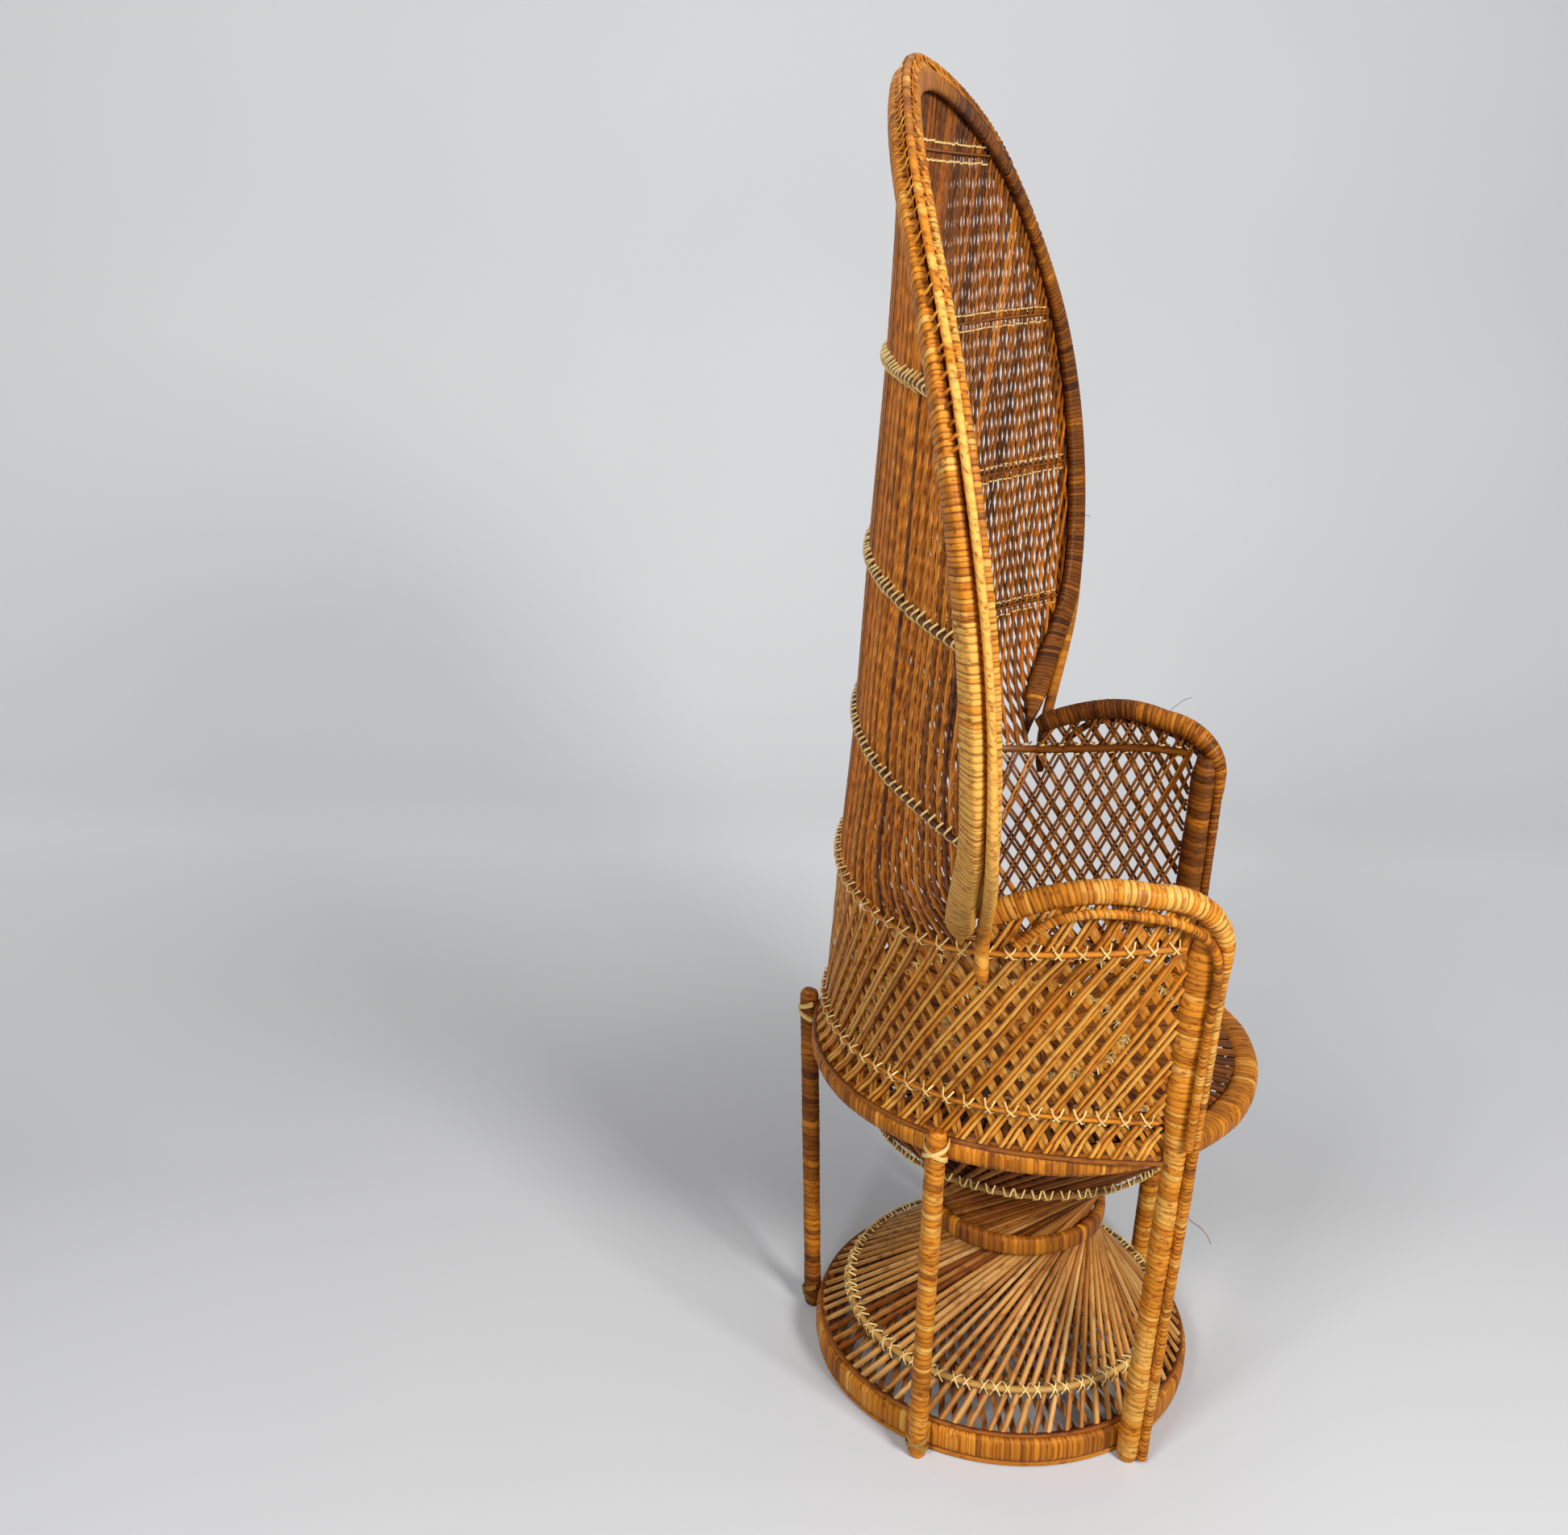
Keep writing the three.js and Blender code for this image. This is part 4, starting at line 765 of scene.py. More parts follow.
# Slanting canes of the wall, in pairs, straight from the seat rim up to the arm hoop or the rail
def wall_weave(direction):
    steep = WALL_LEANS[direction]
    z = np.linspace(RIM_TOP - 0.002, 0.725, 420)
    widths = wall.width(z)
    reach = wall.width(ARM_HOOP) + steep * (z[-1] - z[0])
    paths, normals = [], []
    for start in np.arange(-reach, reach, WALL_PITCH):
        start += rng.normal(0, 0.0008)
        lean = steep + (LEFT_LEAN - steep) * smooth(start, -0.05, 0.25)
        twist = -direction * lean * (1 + rng.normal(0, 0.005))
        for strand in (-0.5, 0.5):
            split = strand * (PAIR_GAP + rng.normal(0, 0.0004)) / PAIR_SLOPE
            share = (start + twist * (z - WALL_FOOT) + split) / widths
            inside = (np.abs(share) <= 0.995) & (z < wall_top(share))
            for heights, shares in stretches(inside, z, share, WALL_LEAST, WALL_STEPS):
                at, normal = wall.at(wall.straight(shares, heights), heights)
                draw = drawn_in(heights, [LOW_HOOP], 0.35)
                flare = 0.008 * (1 - smooth(heights, RIM_TOP, WALL_FOOT + 0.008))
                wave = 0.0002 * np.sin(heights * rng.uniform(60, 110) + rng.uniform(0, 6))
                paths.append(at + normal * (direction * WALL_LAYER * draw + wave + flare)[:, None])
                normals.append(normal * direction)
    paths, normals = np.array(paths), np.array(normals)
    side = paths[:, :, 0].mean(1)
    # Painted shade: canes darker on the far side of the chair
    tone = near_to_far(side, 0.77 if direction > 0 else 0.70, 0.28) + rng.normal(0, 0.14, len(paths))
    piece = Piece()
    strands(piece, paths, normals, near_to_far(side, 0.0022, 0.0019)[:, None], 0.0012, SPLIT_CANE, tone)
    at, normal = wall.at(np.linspace(-1, 1, HOOP_STEPS), np.full(HOOP_STEPS, RIM_TOP))
    rod(piece, at + normal * (0.008 + direction * 0.0044), normal * direction, 0.0030, 0.0024, 0.3)
    build_weave(piece, "wall", direction, cane)


# Close canes of the hood, from the arm hoop or the rim up to the rim
def hood_weave(direction):
    lean = -direction * HOOD_LEAN
    z = np.linspace(HOOD_FOOT - 0.012, HOOD_TOP - 0.018, 600)
    limit = hood_limit(z)
    widths = hood.width(z)
    reach = widths.max() + HOOD_LEAN * (z[-1] - z[0])
    paths, normals, bows = [], [], []
    for start in np.arange(-reach, reach, HOOD_PITCH):
        start += rng.normal(0, 0.0007)
        wander = 0.0006 * np.sin(z * rng.uniform(14, 30) + rng.uniform(0, 6))
        share = (start + lean * (z - HOOD_FOOT) + wander) / widths
        for heights, shares in stretches(np.abs(share) <= limit, z, share, HOOD_LEAST, HOOD_STEPS):
            at, normal = hood.at(shares, heights)
            draw = drawn_in(heights, HOOD_HOOPS, 0.4)
            bow = np.sin(heights * 2 * math.pi / HOOD_BOW + rng.uniform(0, 6))
            paths.append(at + normal * (direction * HOOD_LAYER * draw + 0.00014 * bow)[:, None])
            bows.append(bow * direction)
            normals.append(normal * direction)
    paths, normals = np.array(paths), np.array(normals)
    side = paths[:, :, 0].mean(1)
    wide = near_to_far(side, 0.0023, 0.0028)[:, None] * rng.uniform(0.80, 1.16, (len(paths), 1))
    wide = wide * rng.uniform(0.88, 1.12, paths.shape[:2])
    thick = near_to_far(side, 0.0013, 0.0008)[:, None]
    # Painted shade: the outer layer is darker on the far side, where its back faces the inside, and the inner
    # layer is dark on the near side, where it shows through the gaps
    pale, dark, darker = (0.96, 0.30, 0.50) if direction > 0 else (0.12, 0.50, 0.0)
    tone = near_to_far(side, pale, dark) + rng.normal(0, 0.20, len(paths))
    tone[1::2] -= near_to_far(side[1::2], darker, 0.06)
    # Painted light and shade along each cane: paler where it bows out, darker where it dips
    tone = np.maximum(tone, 0.13)[:, None] + near_to_far(side, 0.08, 0.05)[:, None] * np.array(bows)
    piece = Piece()
    strands(piece, paths, normals, wide, thick, SPLIT_CANE, tone[..., None])
    build_weave(piece, "hood", direction, hood_cane)


# Share that falls from 1 to 0 over a margin at both ends of a path
def tapered(path, start, end):
    run = lengths(path)
    return np.minimum(smooth(run, start, end), smooth(run[-1] - run, start, end))


# Fat roll of bound cane ends along the rim; painted light makes the right (near) side paler low down, and
# painted shade darkens the far side
def hood_roll(direction):
    place = np.linspace(0, 1, 420)
    at, normal = hood.at(*rim(place, ROLL_MIDDLE))
    inward = unit(hood.at(*rim(place, ROLL_MIDDLE + 0.004))[0] - hood.at(*rim(place, ROLL_MIDDLE - 0.004))[0])
    path = at + normal * (direction * (0.0026 + ROLL_THICKNESS / 2))
    x, z = path[:, 0], path[:, 2]
    painted_light = smooth(-x, 0.2, 0.3) * (1 - smooth(z, 0.98, 1.03))
    # Tone: painted light paler low on the near side, painted shade darker on the far side, and darker at the
    # roll's low ends
    tone = 0.60 + 0.32 * painted_light - 0.34 * smooth(x, -0.1, 0.25) - 0.12 * (1 - smooth(z, 0.68, 0.76))
    ends = tapered(path, -0.012, 0.065)
    ends = ends * (1 - smooth(z, 1.0, 1.36) * (0.22 + 0.26 * smooth(x, -0.08, 0.08)))
    half_out = (ROLL_THICKNESS / 2 + 0.0012) * (0.4 + 0.6 * ends)
    layer = "hood_" + LAYER_NAMES[direction]
    wrapped(layer + "_roll", layer + "_canes", path, ROLL_WIDTH / 2 * ends, half_out, inward, normal,
            turn=0.0052, ridge=0.0002, sides=14, power=3.0, slant=0.0010, tone=tone)


# Rod along the front edge of the hood, whose tails run down over the wall
def edge_rod():
    outside = CANE_FACE + 0.0024 + ROLL_THICKNESS / 2 + EDGE_RADIUS + 0.0012
    tail, normal = wall.at(np.full(3, ARM_SHARE), np.array([0.664, 0.644, 0.630]))
    tail = tail + normal * outside
    part = EDGE[np.searchsorted(EDGE[:, 2], 0.684):]
    steps = np.linspace(0, lengths(part)[-1], 40)
    left = np.vstack([tail[::-1], sample(part, steps, lengths(part))])
    path = curve(np.vstack([left, (left * [-1, 1, 1])[-2::-1]]), np.linspace(0, 1, 900))
    x, z = path[:, 0], path[:, 2]
    # Painted light makes the near side paler below the top, painted shade darkens the far side; the rod is
    # also darker at its low tails and towards the top
    painted_light = smooth(-x, 0.2, 0.3) * (1 - smooth(z, 1.0, 1.2))
    tone = 0.90 + 0.1 * painted_light - 0.40 * smooth(x, -0.1, 0.25)
    tone = tone - 0.3 * (1 - smooth(z, 0.64, 0.76)) - 0.34 * smooth(z, 1.08, 1.36)
    slim = (EDGE_RADIUS - 0.0012 + 0.0034 * (1 - smooth(z, 0.70, 0.95))) * tapered(path, -0.02, 0.018)
    wrapped("hood_edge_rod_wrap", "hood_edge_rod", path, slim, slim, turn=0.0130, ridge=0.0001, sides=10,
            slant=0.0030, lines=0.35, tone=tone)


# Short laces over the gap between the edge rod and the roll, on the upper part of the rim
def rim_lacing():
    piece = Piece()
    place = np.arange(0.23, 0.771, LACE_STEP)
    place = place + rng.uniform(-0.25, 0.25, len(place)) * LACE_STEP
    insets = (-0.0030, 0.0, 0.0045, 0.0090, 0.0125)
    lifts = (0.0012, 0.0046, 0.0062, 0.0098, 0.0124)
    for direction in (1, -1):
        paths, normals = [], []
        for k, (inset, lift) in enumerate(zip(insets, lifts)):
            slid = np.clip(place + (k - 2) * 0.0005 * direction, 0, 1)
            at, normal = hood.at(*rim(slid, inset))
            paths.append(at + normal * (direction * lift))
            normals.append(normal * direction)
        paths, normals = np.stack(paths, 1), np.stack(normals, 1)
        # Painted shade: laces darker on the far side of the chair
        stitch_strands(piece, paths, normals, 0.0016, 0.58 - 0.28 * smooth(paths[:, 0, 0], -0.08, 0.24), 0.14)
    piece.build("hood_rim_lacing", peel, "peel", "hood_edge_rod")


def build_hoops(rods, stitches, hoop, rod_name, stitch_name):
    nodes = [hoop + "_" + layer for layer in LAYER_NAMES.values()]
    rods.build(rod_name, cane, "cane", *nodes)
    stitches.build(stitch_name, binding, "binding", *nodes)


def build_back():
    for direction in (1, -1):
        wall_weave(direction)
        hood_weave(direction)
        hood_roll(direction)
    edge_rod()
    rim_lacing()
    end = 1 - 0.008 / wall.width(ARM_HOOP)
    for name, z in (("wall_low", LOW_HOOP), ("wall_arm", ARM_HOOP)):
        rods, stitches = Piece(), Piece()
        stitched_hoop(rods, stitches, z, end)
        thread_hoop(rods, stitches, wall, z, end, WALL_PITCH, half_height=0.0044, offset=0.0056,
                    spread=0.0060, tone=0.24)
        build_hoops(rods, stitches, name + "_hoop", name + "_rods", name + "_stitches")
    for number, z in zip("1234", HOOD_HOOPS):
        rods, stitches = Piece(), Piece()
        limit = float(hood_limit(np.array([z + 0.005]))[0]) - 0.020 / hood.width(z)
        finned_hoop(rods, stitches, z, limit)
        thread_hoop(rods, stitches, hood, z, limit, HOOD_PITCH)
        build_hoops(rods, stitches, "hood_hoop_" + number, "hood_rods_" + number, "hood_stitches_" + number)


# Ring of the base, waist or seat, bound with peel
def ring_wrap(node, half_width, half_depth, back, z, half_across, half_out, turn, tone, power=3.4):
    path, outward = round_path(half_width, half_depth, back, z)
    up = np.tile(UP, (len(path), 1))
    wrapped(node + "_wrap", node, path, half_across, half_out, outward, up, turn=turn, power=power,
            slant=0.0012, closed=True, tone=tone, lumps=0.0003, lines=0.6)


# Layers of the pedestal: radius and height of the canes' feet and heads, and radius of the waist
LAYERS = {
    1: dict(foot=0.214, foot_z=0.0400, head=0.240, head_z=0.3915, waist=0.089),
    -1: dict(foot=0.2022, foot_z=0.0296, head=0.224, head_z=0.3915, waist=0.079),
}
for layer in LAYERS.values():
    sweeps = np.linspace(math.pi / 2, math.pi, 4001)
    foot, head = layer["foot"], layer["head"]
    chord = np.sqrt(foot ** 2 + head ** 2 - 2 * foot * head * np.cos(sweeps))
    layer["sweep"] = float(np.interp(-layer["waist"], -(foot * head * np.sin(sweeps) / chord), sweeps))


def pedestal_share(layer, z):
    return (np.asarray(z, float) - layer["foot_z"]) / (layer["head_z"] - layer["foot_z"])


def pedestal_radius(layer, z):
    t = pedestal_share(layer, z)
    low, high = layer["foot"] * (1 - t), layer["head"] * t
    return np.sqrt(low ** 2 + high ** 2 + 2 * low * high * math.cos(layer["sweep"]))


# Straight canes of the pedestal, which sweep round from the base to the seat and so draw in to a waist
def pedestal_weave(direction):
    layer = LAYERS[direction]
    foot, head = layer["foot"], layer["head"]
    start = turns(PEDESTAL_CANES) + rng.normal(0, 0.008, PEDESTAL_CANES)
    end = start + direction * layer["sweep"] + rng.normal(0, 0.012, PEDESTAL_CANES)
    low = ellipse(start, foot, foot, 0, layer["foot_z"])
    high = ellipse(end, head, head, -SEAT_FORWARD, layer["head_z"])
    t = np.linspace(0, 1, 24)[None, :, None]
    paths = low[:, None] * (1 - t) + high[:, None] * t
    outward = (paths - np.array([0, -SEAT_FORWARD, 0]) * t) * FLATTEN
    slope = np.gradient(np.linalg.norm(outward, axis=2), axis=1) / np.gradient(paths[..., 2], axis=1)
    normals = unit(np.concatenate([unit(outward)[..., :2], -slope[..., None]], -1)) * direction
    wide = 0.0033 * rng.uniform(0.85, 1.15, (PEDESTAL_CANES, 1))
    tone = (0.69 if direction > 0 else 0.46) + rng.normal(0, 0.15, (PEDESTAL_CANES, 1, 1))
    piece = Piece()
    strands(piece, paths, normals, wide, 0.0018, SPLIT_CANE, tone - 0.32 * smooth(paths[..., 2:], 0.14, 0.26))
    path, outward = round_path(foot, foot, 0, layer["foot_z"], 120)
    rod(piece, path, outward, 0.0030, 0.0030, 0.4, True)
    build_weave(piece, "pedestal", direction, dry_cane)


# Hoop round a layer of the pedestal, with its stitches
def pedestal_hoop(piece, direction, z, seat, pitch):
    layer = LAYERS[direction]
    radius = float(pedestal_radius(layer, z))
    slope = float(pedestal_radius(layer, z + 0.001) - pedestal_radius(layer, z - 0.001)) / 0.002
    path, outward = round_path(radius, radius, -SEAT_FORWARD * float(pedestal_share(layer, z)), z, 180)
    out = unit(outward - UP * slope) * direction
    offset = seat + 0.0025
    rod(piece, path + out * offset, out, 0.0042, 0.0024, 0.45, True)
    count = int(2 * math.pi * radius / pitch)
    step = (turns(count) / (2 * math.pi) * len(path)).astype(int)
    along = unit(np.cross(UP, outward[step]))
    rise = unit(np.cross(out[step], along))
    rise *= np.sign(rise[:, 2:])
    centre = path[step] + out[step] * 0.002
    crossed_stitches(piece, centre, along, rise, out[step], pitch * 0.33, 0.0078, offset + 0.0006)


def build_pedestal():
    piece = Piece()
    path, outward = round_path(BASE_RADIUS, BASE_RADIUS, 0, 0.0040, 200)
    rod(piece, path, outward, 0.0040, 0.0050, 0.52, True)
    piece.build("base_floor_hoop_bare", cane, "cane", "base_floor_hoop")
    ring_wrap("base_ring", BASE_RADIUS, BASE_RADIUS, 0, BASE_LEVEL,
              half_across=0.0067, half_out=0.0137, turn=0.0062, tone=0.55)
    for direction in (1, -1):
        pedestal_weave(direction)
    low = Piece()
    pedestal_hoop(low, 1, PEDESTAL_LOW_BAND, seat=0.0038, pitch=0.0155)
    pedestal_hoop(low, -1, PEDESTAL_LOW_BAND, seat=0.0033, pitch=0.0155)
    nodes = ("pedestal_low_hoop_outer", "pedestal_low_hoop_inner")
    low.build("pedestal_low_binding", binding, "binding", *nodes)
    high = Piece()
    pedestal_hoop(high, 1, PEDESTAL_HIGH_BAND, seat=0.0045, pitch=0.0150)
    high.build("pedestal_high_binding", binding, "binding", "pedestal_high_hoop")
    waist_low, waist_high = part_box("waist_ring")
    radius = (waist_high.x - waist_low.x) / 2 - 0.006
    back = (waist_high.y + waist_low.y) / 2 - MIDDLE[1]
    level = (waist_low.z + waist_high.z) / 2
    ring_wrap("waist_ring", radius, radius, back, level,
              half_across=0.0058, half_out=0.0107, turn=0.0062, tone=0.38)


# Canes that run in to the middle of the seat, every second one shorter, and three small rings over their ends
def seat_weave(level):
    piece = Piece()
    odd = np.arange(SEAT_CANES) % 2
    turn = turns(SEAT_CANES) + rng.normal(0, 0.004, SEAT_CANES)
    along = ellipse(turn, 1, 1, 0, 0)
    reach = 1 / np.hypot(along[:, 0] / 0.229, along[:, 1] / 0.220)
    share = np.linspace(0, 1, 16)
    distance = np.where(odd, 0.058, 0.020)[:, None] * (1 - share) + reach[:, None] * share
    paths = along[:, None] * distance[..., None] + [0, -SEAT_FORWARD, level]
    paths[..., 2] += np.where(odd, 0.0006, -0.0004)[:, None]
    wide = np.minimum(0.0037, distance * math.pi / SEAT_CANES * 1.9)
    # Painted shade: the seat canes get a dark tone for the shade inside the chair
    tone = 0.24 + rng.normal(0, 0.12, SEAT_CANES)
    strands(piece, paths, UP, wide, 0.0015, SPLIT_CANE, tone)
    for radius in (0.010, 0.019, 0.028):
        path = round_path(radius, radius, -SEAT_FORWARD, level + 0.0012, 60)[0]
        rod(piece, path, UP, 0.0044, 0.0018, 0.45, True)
    piece.build("seat_weave", cane, "cane", "seat_canes")


# Seat: radial canes under two stitched hoops and over two crossed poles, within the bound rim
def build_seat():
    rim_level = RIM_TOP - 0.013
    ring_wrap("seat_rim", RIM_WIDTH, RIM_DEPTH, -SEAT_FORWARD, rim_level,
              half_across=0.0147, half_out=0.0128, turn=0.0058, tone=0.52, power=2.8)
    seat_low, seat_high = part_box("seat_canes")
    level = (seat_low.z + seat_high.z) / 2
    seat_weave(level)
    hoops = Piece()
    pitch = 0.0135
    for inset in (0.029, 0.117):
        path, outward = round_path(0.226 - inset, 0.217 - inset, -SEAT_FORWARD, level + 0.0042, 180)
        rod(hoops, path, UP, 0.0042, 0.0022, 0.5, True)
        count = int(lengths(path)[-1] / pitch)
        step = (middles(count) * len(path)).astype(int)
        side = unit(np.cross(UP, outward[step]))
        centre = path[step] - [0, 0, 0.002]
        up = np.tile(UP, (count, 1))
        # Painted shade: the seat's stitches are darker (0.74) than stitches elsewhere
        crossed_stitches(hoops, centre, side, outward[step], up, pitch * 0.4, 0.0085, 0.0045, 0.74)
    hoops.build("seat_binding", binding, "binding", "seat_outer_hoop", "seat_inner_hoop")
    bearers = Piece()
    names = ("seat_bearer_fore_aft", "seat_bearer_side")
    for name, axis in zip(names, (np.array([0, 1.0, 0]), np.array([1.0, 0, 0]))):
        low, high = (np.array(corner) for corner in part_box(name))
        half = (high - low).dot(axis) / 2
        path = (low + high) / 2 - MIDDLE + axis * np.linspace(-half, half, 40)[:, None]
        knots = 0.0056 + 0.0004 * np.exp(-((np.linspace(-1, 1, 40) % 0.45 - 0.2) / 0.03) ** 2)
        rod(bearers, path, UP, knots, knots, 0.4)
    bearers.build("seat_bearers", pole, "pole", *names)


# Bound leg with a rounded head and a slightly worn foot
def leg_wrap(name, axis, tone):
    top = SEAT + 0.006
    z = np.linspace(FOOT_Z, top, 120)
    levels = [0, 0.008, 0.037, 0.215, 0.394, top - 0.008, top - 0.008 / 3, top]
    shares = np.array([0.86, 1, 1, 0.96, 1, 1, 0.85, 0.5])
    radius = np.interp(z, levels, shares * (LEG_RADIUS - LEG_SLIM))
    path = axis(z)
    path = path - unit(path * FLATTEN) * (LEG_SLIM - LEG_GAP)
    wrapped(name + "_wrap", name, path, radius, radius, turn=0.0074, slant=0.0020, tone=tone,
            lumps=0.0004, lines=0.72)


# Crossed turns of peel that tie a leg to a ring
def lashing(piece, axis, z, centre_y, tone):
    middle = axis(z)
    out = unit((middle - [0, centre_y, 0]) * FLATTEN)
    side = np.array([-out[1], out[0], 0])
    middle = middle - out * (LEG_SLIM - LEG_GAP)
    reach = LEG_RADIUS - LEG_SLIM + 0.0018
    s = np.linspace(-1, 1, 25)
    turn = s * math.radians(118)
    normal = unit(out * np.cos(turn)[:, None] + side * np.sin(turn)[:, None])
    for lean in (-0.012, -0.009, 0.009, 0.012):
        path = (middle + out * (reach * np.cos(turn))[:, None] + side * (reach * np.sin(turn))[:, None]
                + UP * (lean * s)[:, None])
        lift = 0.0009 if lean > 0 else 0.0
        own_tone = np.array([tone + rng.normal(0, 0.1)])
        strands(piece, (path + normal * lift)[None], normal[None], 0.0019, 0.0006, FLAT_PEEL, own_tone)


# Front leg, which swells above the seat, where its binding takes in the ends of the wall
def arm_post(name, side):
    steps = 160
    top = BEND_FOOT + 0.028
    z = np.linspace(FOOT_Z, top, steps)
    swell = 0.0038 * smooth(z, SEAT - 0.02, SEAT + 0.06)
    toward_wall = unit(TOWARD_WALL * [side, 1, 1])
    across = np.tile(toward_wall, (steps, 1))
    out = np.tile(np.cross(UP, toward_wall), (steps, 1))
    path = front_leg_axis(side)(z) + across * swell[:, None]
    ends = np.minimum(0.86 + 0.14 * smooth(z, 0, 0.008), 1 - 0.45 * smooth(z, BEND_FOOT, top))
    radius = (LEG_RADIUS - 0.0010) * ends
    tone = 0.68 if side < 0 else 0.60 - 0.36 * smooth(z, 0.40, 0.50)
    wrapped(name + "_wrap", name, path, radius + swell, radius, across, out, turn=0.0070, ridge=0.00025,
            slant=0.0024, tone=tone, lumps=0.0006, lines=0.72)


def build_legs():
    rear_legs = (
        ("back", BACK_ANGLE, 1, 0.32),
        ("rear_right", REAR_ANGLE, -1, 0.66),
        ("rear_left", REAR_ANGLE, 1, 0.66),
    )
    ties = (("foot", BASE_LEVEL, 0, 0.24), ("seat", LASHING_LEVEL, -SEAT_FORWARD, 0.66))
    lashings = Piece()
    nodes = []
    for name, angle, side, leg_tone in rear_legs:
        axis = leg_axis(angle, angle, side)
        leg_wrap("leg_" + name, axis, leg_tone)
        for level, z, centre_y, tone in ties:
            lashing(lashings, axis, z, centre_y, tone)
            nodes.append("lashing_" + level + "_" + name)
    lashings.build("lashings", binding, "binding", *nodes)
    arm_post("leg_front_right", -1)
    arm_post("leg_front_left", 1)


# Bead under the rail: along the outer face of the wall, round the bend and down beside the post
def bead_path():
    outside = CANE_FACE + BEAD_RADIUS + 0.0010
    s = np.array([0.14, 0.3, 0.45, 0.6, 0.75])
    low = ARM_HOOP + 0.005 + BEAD_RADIUS + 0.0006
    under = rail_height(s) - RAIL_RADIUS - BEAD_RADIUS
    over = arm_place(s, low + (under - low) * smooth(s, 0.1, 0.35), outside)
    beside = unit([0.81, -0.59, 0]) * (LEG_RADIUS + BEAD_RADIUS + 0.0003)
    foot = BEND_FOOT - 0.006 - 0.004
    bent = [foot + (over[-1, 2] - foot) * math.cos(math.radians(degrees)) for degrees in (24, 48, 69)]
    points = list(over) + [arm_place(0.875, bent[0], outside), arm_place(1.0, bent[1], outside)]
    past = points[-1] * 0.3 + (FRONT_LEG(foot) + beside) * 0.7
    past[2] = bent[2]
    points += [past] + [FRONT_LEG(z) + beside for z in (foot, 0.56, SEAT + 0.006)]
    return curve(np.array(points), np.linspace(0, 1, 160))


# Arms: the bound rail, which runs on down to the floor as a thin rod, and the bead under it
def build_arms():
    s = np.linspace(RAIL_START, RAIL_BEND_START, 60)
    turn = np.linspace(0, math.pi / 2, 40)[1:]
    down_z = np.linspace(BEND_FOOT, 0.006, 80)[1:]
    rail = np.vstack([arm_place(s, rail_swell(s)), rail_bend(np.sin(turn)), rail_front(down_z)])
    down_slim = np.maximum(0.741, smooth(BEND_FOOT - down_z, -0.04, 0.032))
    slim = np.concatenate([np.zeros(len(s)), smooth(np.degrees(turn), 30, 120), down_slim])
    radius = RAIL_RADIUS + (ROD_RADIUS - RAIL_RADIUS) * slim
    radius[:len(s)] *= 0.7 + 0.3 * smooth(s, RAIL_START, 0.02)
    radius = radius - 0.0003
    bead = bead_path()
    bead_radius = BEAD_RADIUS - 0.0002
    run = lengths(rail)
    for name, mirror in (("left", 1), ("right", -1)):
        flip = np.array([mirror, 1, 1])
        tone = 0.62 + 0.24 * smooth(run, 0.06, 0.20) - 0.22 * smooth(run, 0.34, 0.5)
        if mirror > 0:
            tone = tone - 0.46 * (1 - smooth(run, 0.55, 0.75))
        node = "arm_rail_" + name
        wrapped(node + "_wrap", node, rail * flip, radius, radius, turn=0.0050, sides=14, slant=0.0014,
                tone=tone, lumps=0.0003)
        node = "arm_bead_" + name
        wrapped(node + "_wrap", node, bead * flip, bead_radius, bead_radius, turn=0.0046, ridge=0.00025,
                sides=10, slant=0.0016, tone=0.60 if mirror < 0 else 0.28)


# Loose hairs of cane that have sprung from the weave, by start and reach
HAIRS = (
    ((-0.20, 0.10, 0.06), (-0.05, 0.06, 0.05)), ((0.30, -0.10, 0.69), (0.02, -0.05, 0.03)),
    ((0.498, 0.02, 0.90), (0.012, -0.02, -0.004)), ((-0.13, -0.19, 0.30), (-0.02, -0.03, -0.03)),
)
HAIR_FACE = np.array([0, 0.3, 1.0])


def build_hairs():
    piece = Piece()
    s = np.linspace(0, 1, 12)[:, None]
    for start, reach in HAIRS:
        path = np.array(start) + np.array(reach) * s + UP * 0.018 * np.sin(s * math.pi * 0.8) * s
        rod(piece, path, HAIR_FACE, 0.0004, 0.0003, 0.3)
    piece.build("loose_hairs", cane, "cane")


build_pedestal()
build_seat()
build_legs()
build_back()
build_arms()
build_hairs()


# Pale paper, which glows a little where it is far from the chair, for the background alone
def paper():
    material = bpy.data.materials.new("studio_paper")
    nodes = Nodes(material)
    place = nodes.add("TexCoord").outputs["Object"]
    rays = nodes.background_rays()
    grain = nodes.add("TexNoise", {"Vector": place, "Scale": 1.4}).outputs["Fac"]
    seen = nodes.ramp(grain, [(0.60, 0.613, 0.64), (0.66, 0.673, 0.70)])
    axes = nodes.add("SeparateXYZ", {0: place}).outputs
    distance = nodes.add("VectorMath", {0: place}, operation="LENGTH").outputs["Value"]
    far = nodes.maths("MAXIMUM", nodes.spread(axes["X"], 0.3, 1.5), nodes.spread(distance, 1.7, 3.4))
    glow = nodes.maths("MULTIPLY", far, rays)
    glow = nodes.maths("MULTIPLY", nodes.spread(axes["Y"], -2.0, 2.0, 0.72, 1.16), glow)
    nodes.fill(nodes.tree.nodes["Principled BSDF"], {
        "Base Color": nodes.mix("MIX", rays, (0.34, 0.33, 0.32, 1), seen),
        "Roughness": 0.85,
        "Specular IOR Level": 0.1,
        "Emission Color": (0.96, 0.97, 1.0, 1),
        "Emission Strength": nodes.maths("MULTIPLY", glow, PAPER_GLOW),
    })
    return material


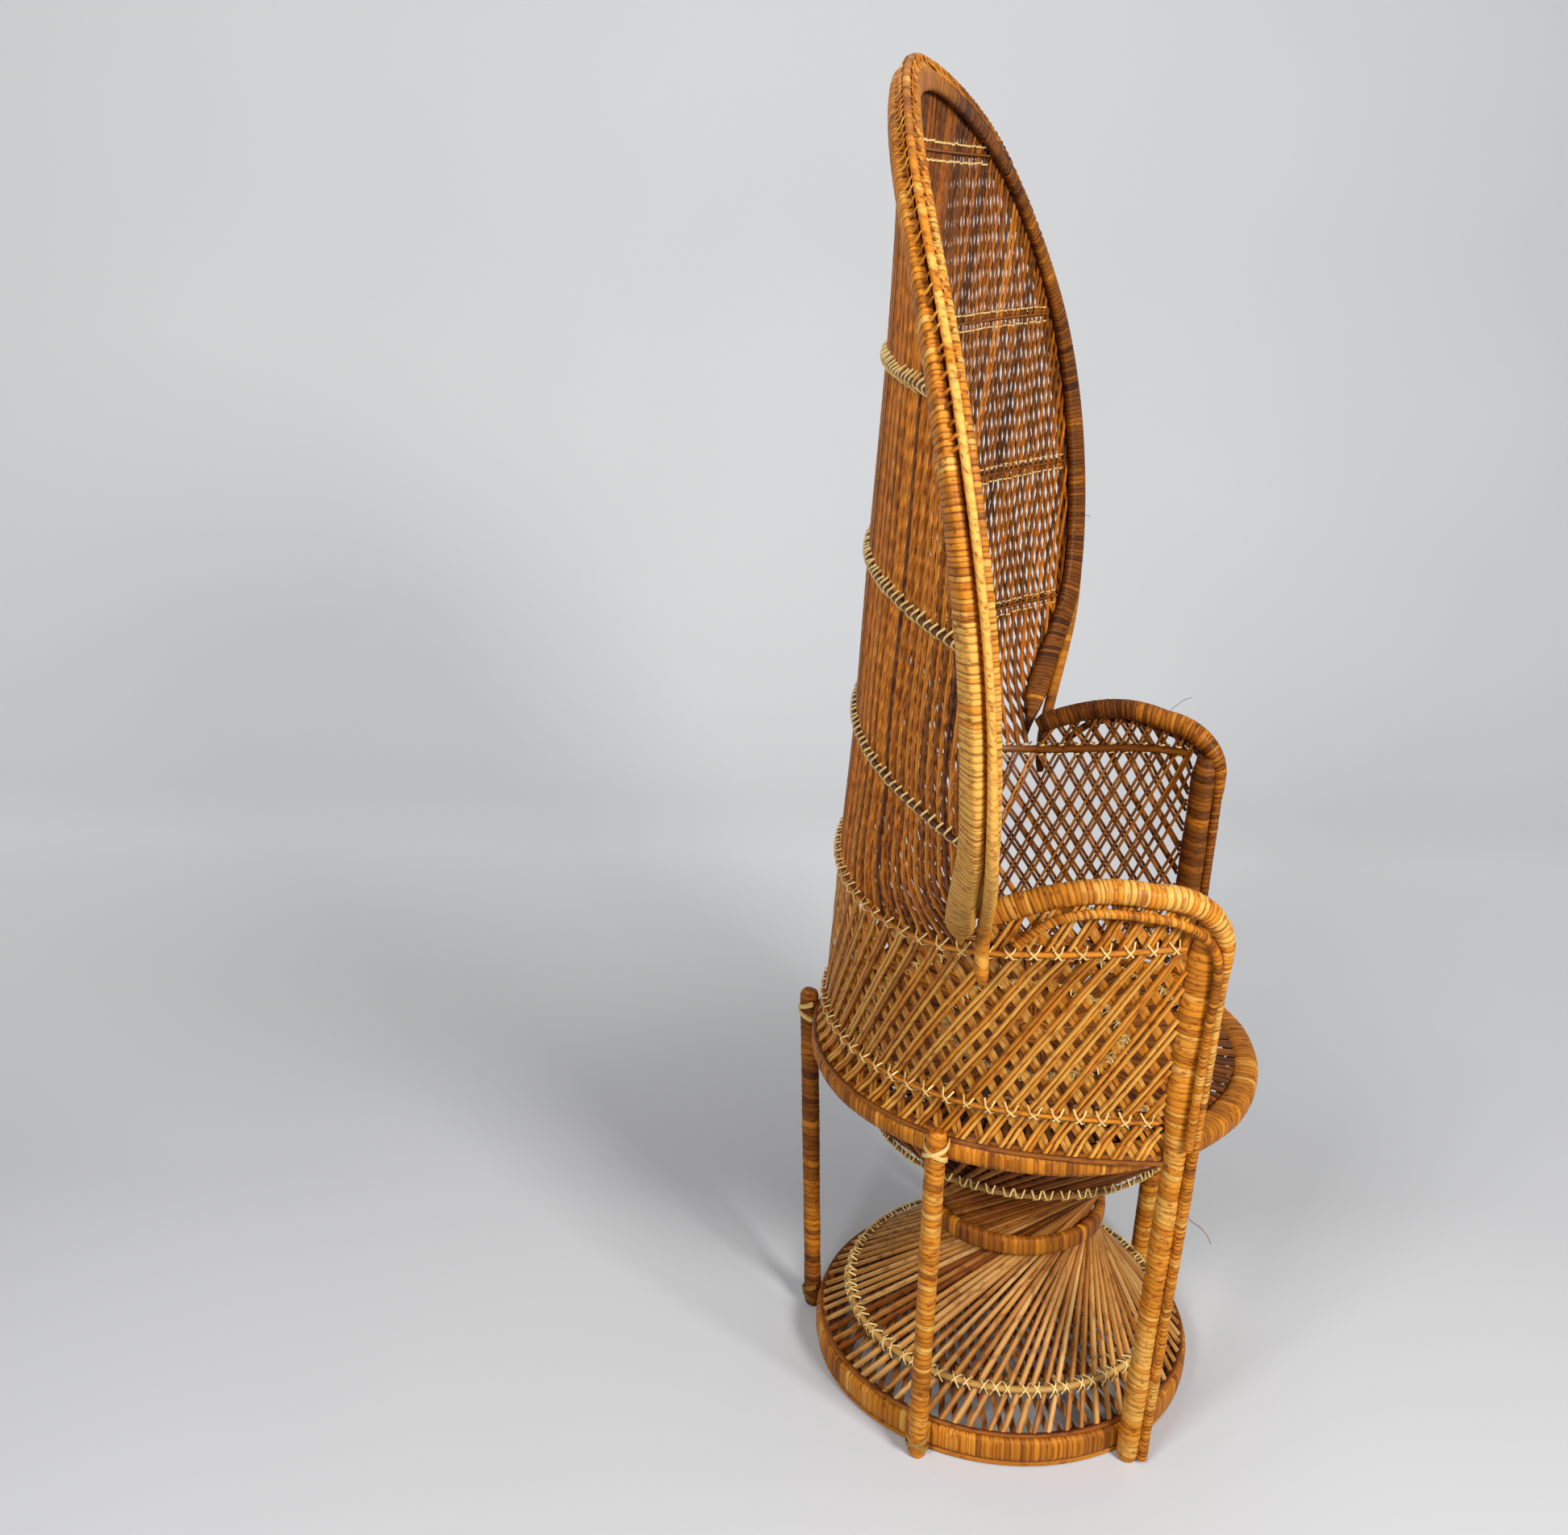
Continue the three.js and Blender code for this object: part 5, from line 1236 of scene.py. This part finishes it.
# Pale floor that sweeps up behind the chair
def build_floor():
    reach, radius, height = 3.0, 1.2, 4.0
    profile = [(-6.0, 0.0), (reach - radius, 0.0)]
    for a in np.linspace(0, math.pi / 2, 24)[1:]:
        profile.append((reach - radius + radius * math.sin(a), radius - radius * math.cos(a)))
    profile.append((reach, height))
    n = len(profile)
    verts = [(x, y, z) for y in (-7.0, 7.0) for x, z in profile]
    faces = [(i, i + 1, n + i + 1, n + i) for i in range(n - 1)]
    mesh = bpy.data.meshes.new("studio_floor")
    mesh.from_pydata(verts, [], faces)
    mesh.polygons.foreach_set("use_smooth", np.ones(len(faces), bool))
    mesh.materials.append(paper())
    floor = bpy.data.objects.new("studio_floor", mesh)
    floor.rotation_euler = (0, 0, math.atan2(VIEW_Y, VIEW_X))
    bpy.context.scene.collection.objects.link(floor)


# Puts a lamp or camera in its place, with its directions right, up and back
def stand(thing, right, up, back, place):
    rows = [[right[i], up[i], back[i], place[i]] for i in range(3)]
    thing.matrix_world = Matrix(rows + [[0, 0, 0, 1]])
    bpy.context.scene.collection.objects.link(thing)


def lamp(name, place, target, size, energy, colour=(1, 1, 1)):
    light = bpy.data.lights.new(name, "AREA")
    light.shape = "SQUARE"
    light.size = size
    light.energy = energy
    light.color = colour
    back = unit(np.array(place) - np.array(target))
    right = unit(np.cross(UP, back))
    stand(bpy.data.objects.new(name, light), right, np.cross(back, right), back, place)


# Dim light all round, which is pale where it is seen as the background
def build_world():
    world = bpy.data.worlds.new("studio")
    nodes = Nodes(world)
    nodes.fill(nodes.tree.nodes["Background"], {
        "Color": (0.92, 0.95, 1.0, 1),
        "Strength": nodes.spread(nodes.background_rays(), 0.0, 1.0, WORLD_LIGHT, WORLD_SEEN),
    })
    bpy.context.scene.world = world


# The camera stands where the photograph was taken, turned with its slight tilt
def build_camera():
    camera = bpy.data.cameras.new("photo_camera")
    camera.sensor_fit = "HORIZONTAL"
    camera.sensor_width = 36.0
    camera.lens = 37.04
    camera.shift_y = 0.0188
    camera.clip_start = 0.05
    pitch, roll = math.radians(20.66), math.radians(1.474)
    ahead = unit([VIEW_X * math.cos(pitch), VIEW_Y * math.cos(pitch), -math.sin(pitch)])
    right = unit(np.cross(ahead, UP))
    up = np.cross(right, ahead)
    turned_right = right * math.cos(roll) + up * math.sin(roll)
    turned_up = up * math.cos(roll) - right * math.sin(roll)
    eye = bpy.data.objects.new("photo_camera", camera)
    stand(eye, turned_right, turned_up, -ahead, np.array([-1.6304, -0.0924, 1.2993]) + MIDDLE)
    bpy.context.scene.camera = eye


def build_studio():
    build_floor()
    lamp("key", (-2.1, -2.1, 2.3), (0, 0, 0.7), 0.9, 122, (1.0, 0.98, 0.94))
    lamp("fill", (-2.5, 0.9, 2.3), (0, 0, 0.8), 0.8, 52, (1.0, 0.98, 0.96))
    lamp("top", (0.3, 0.2, 3.4), (0, 0, 0.5), 2.6, 20)
    build_world()
    bpy.context.scene.view_settings.view_transform = "Standard"
    build_camera()


build_studio()
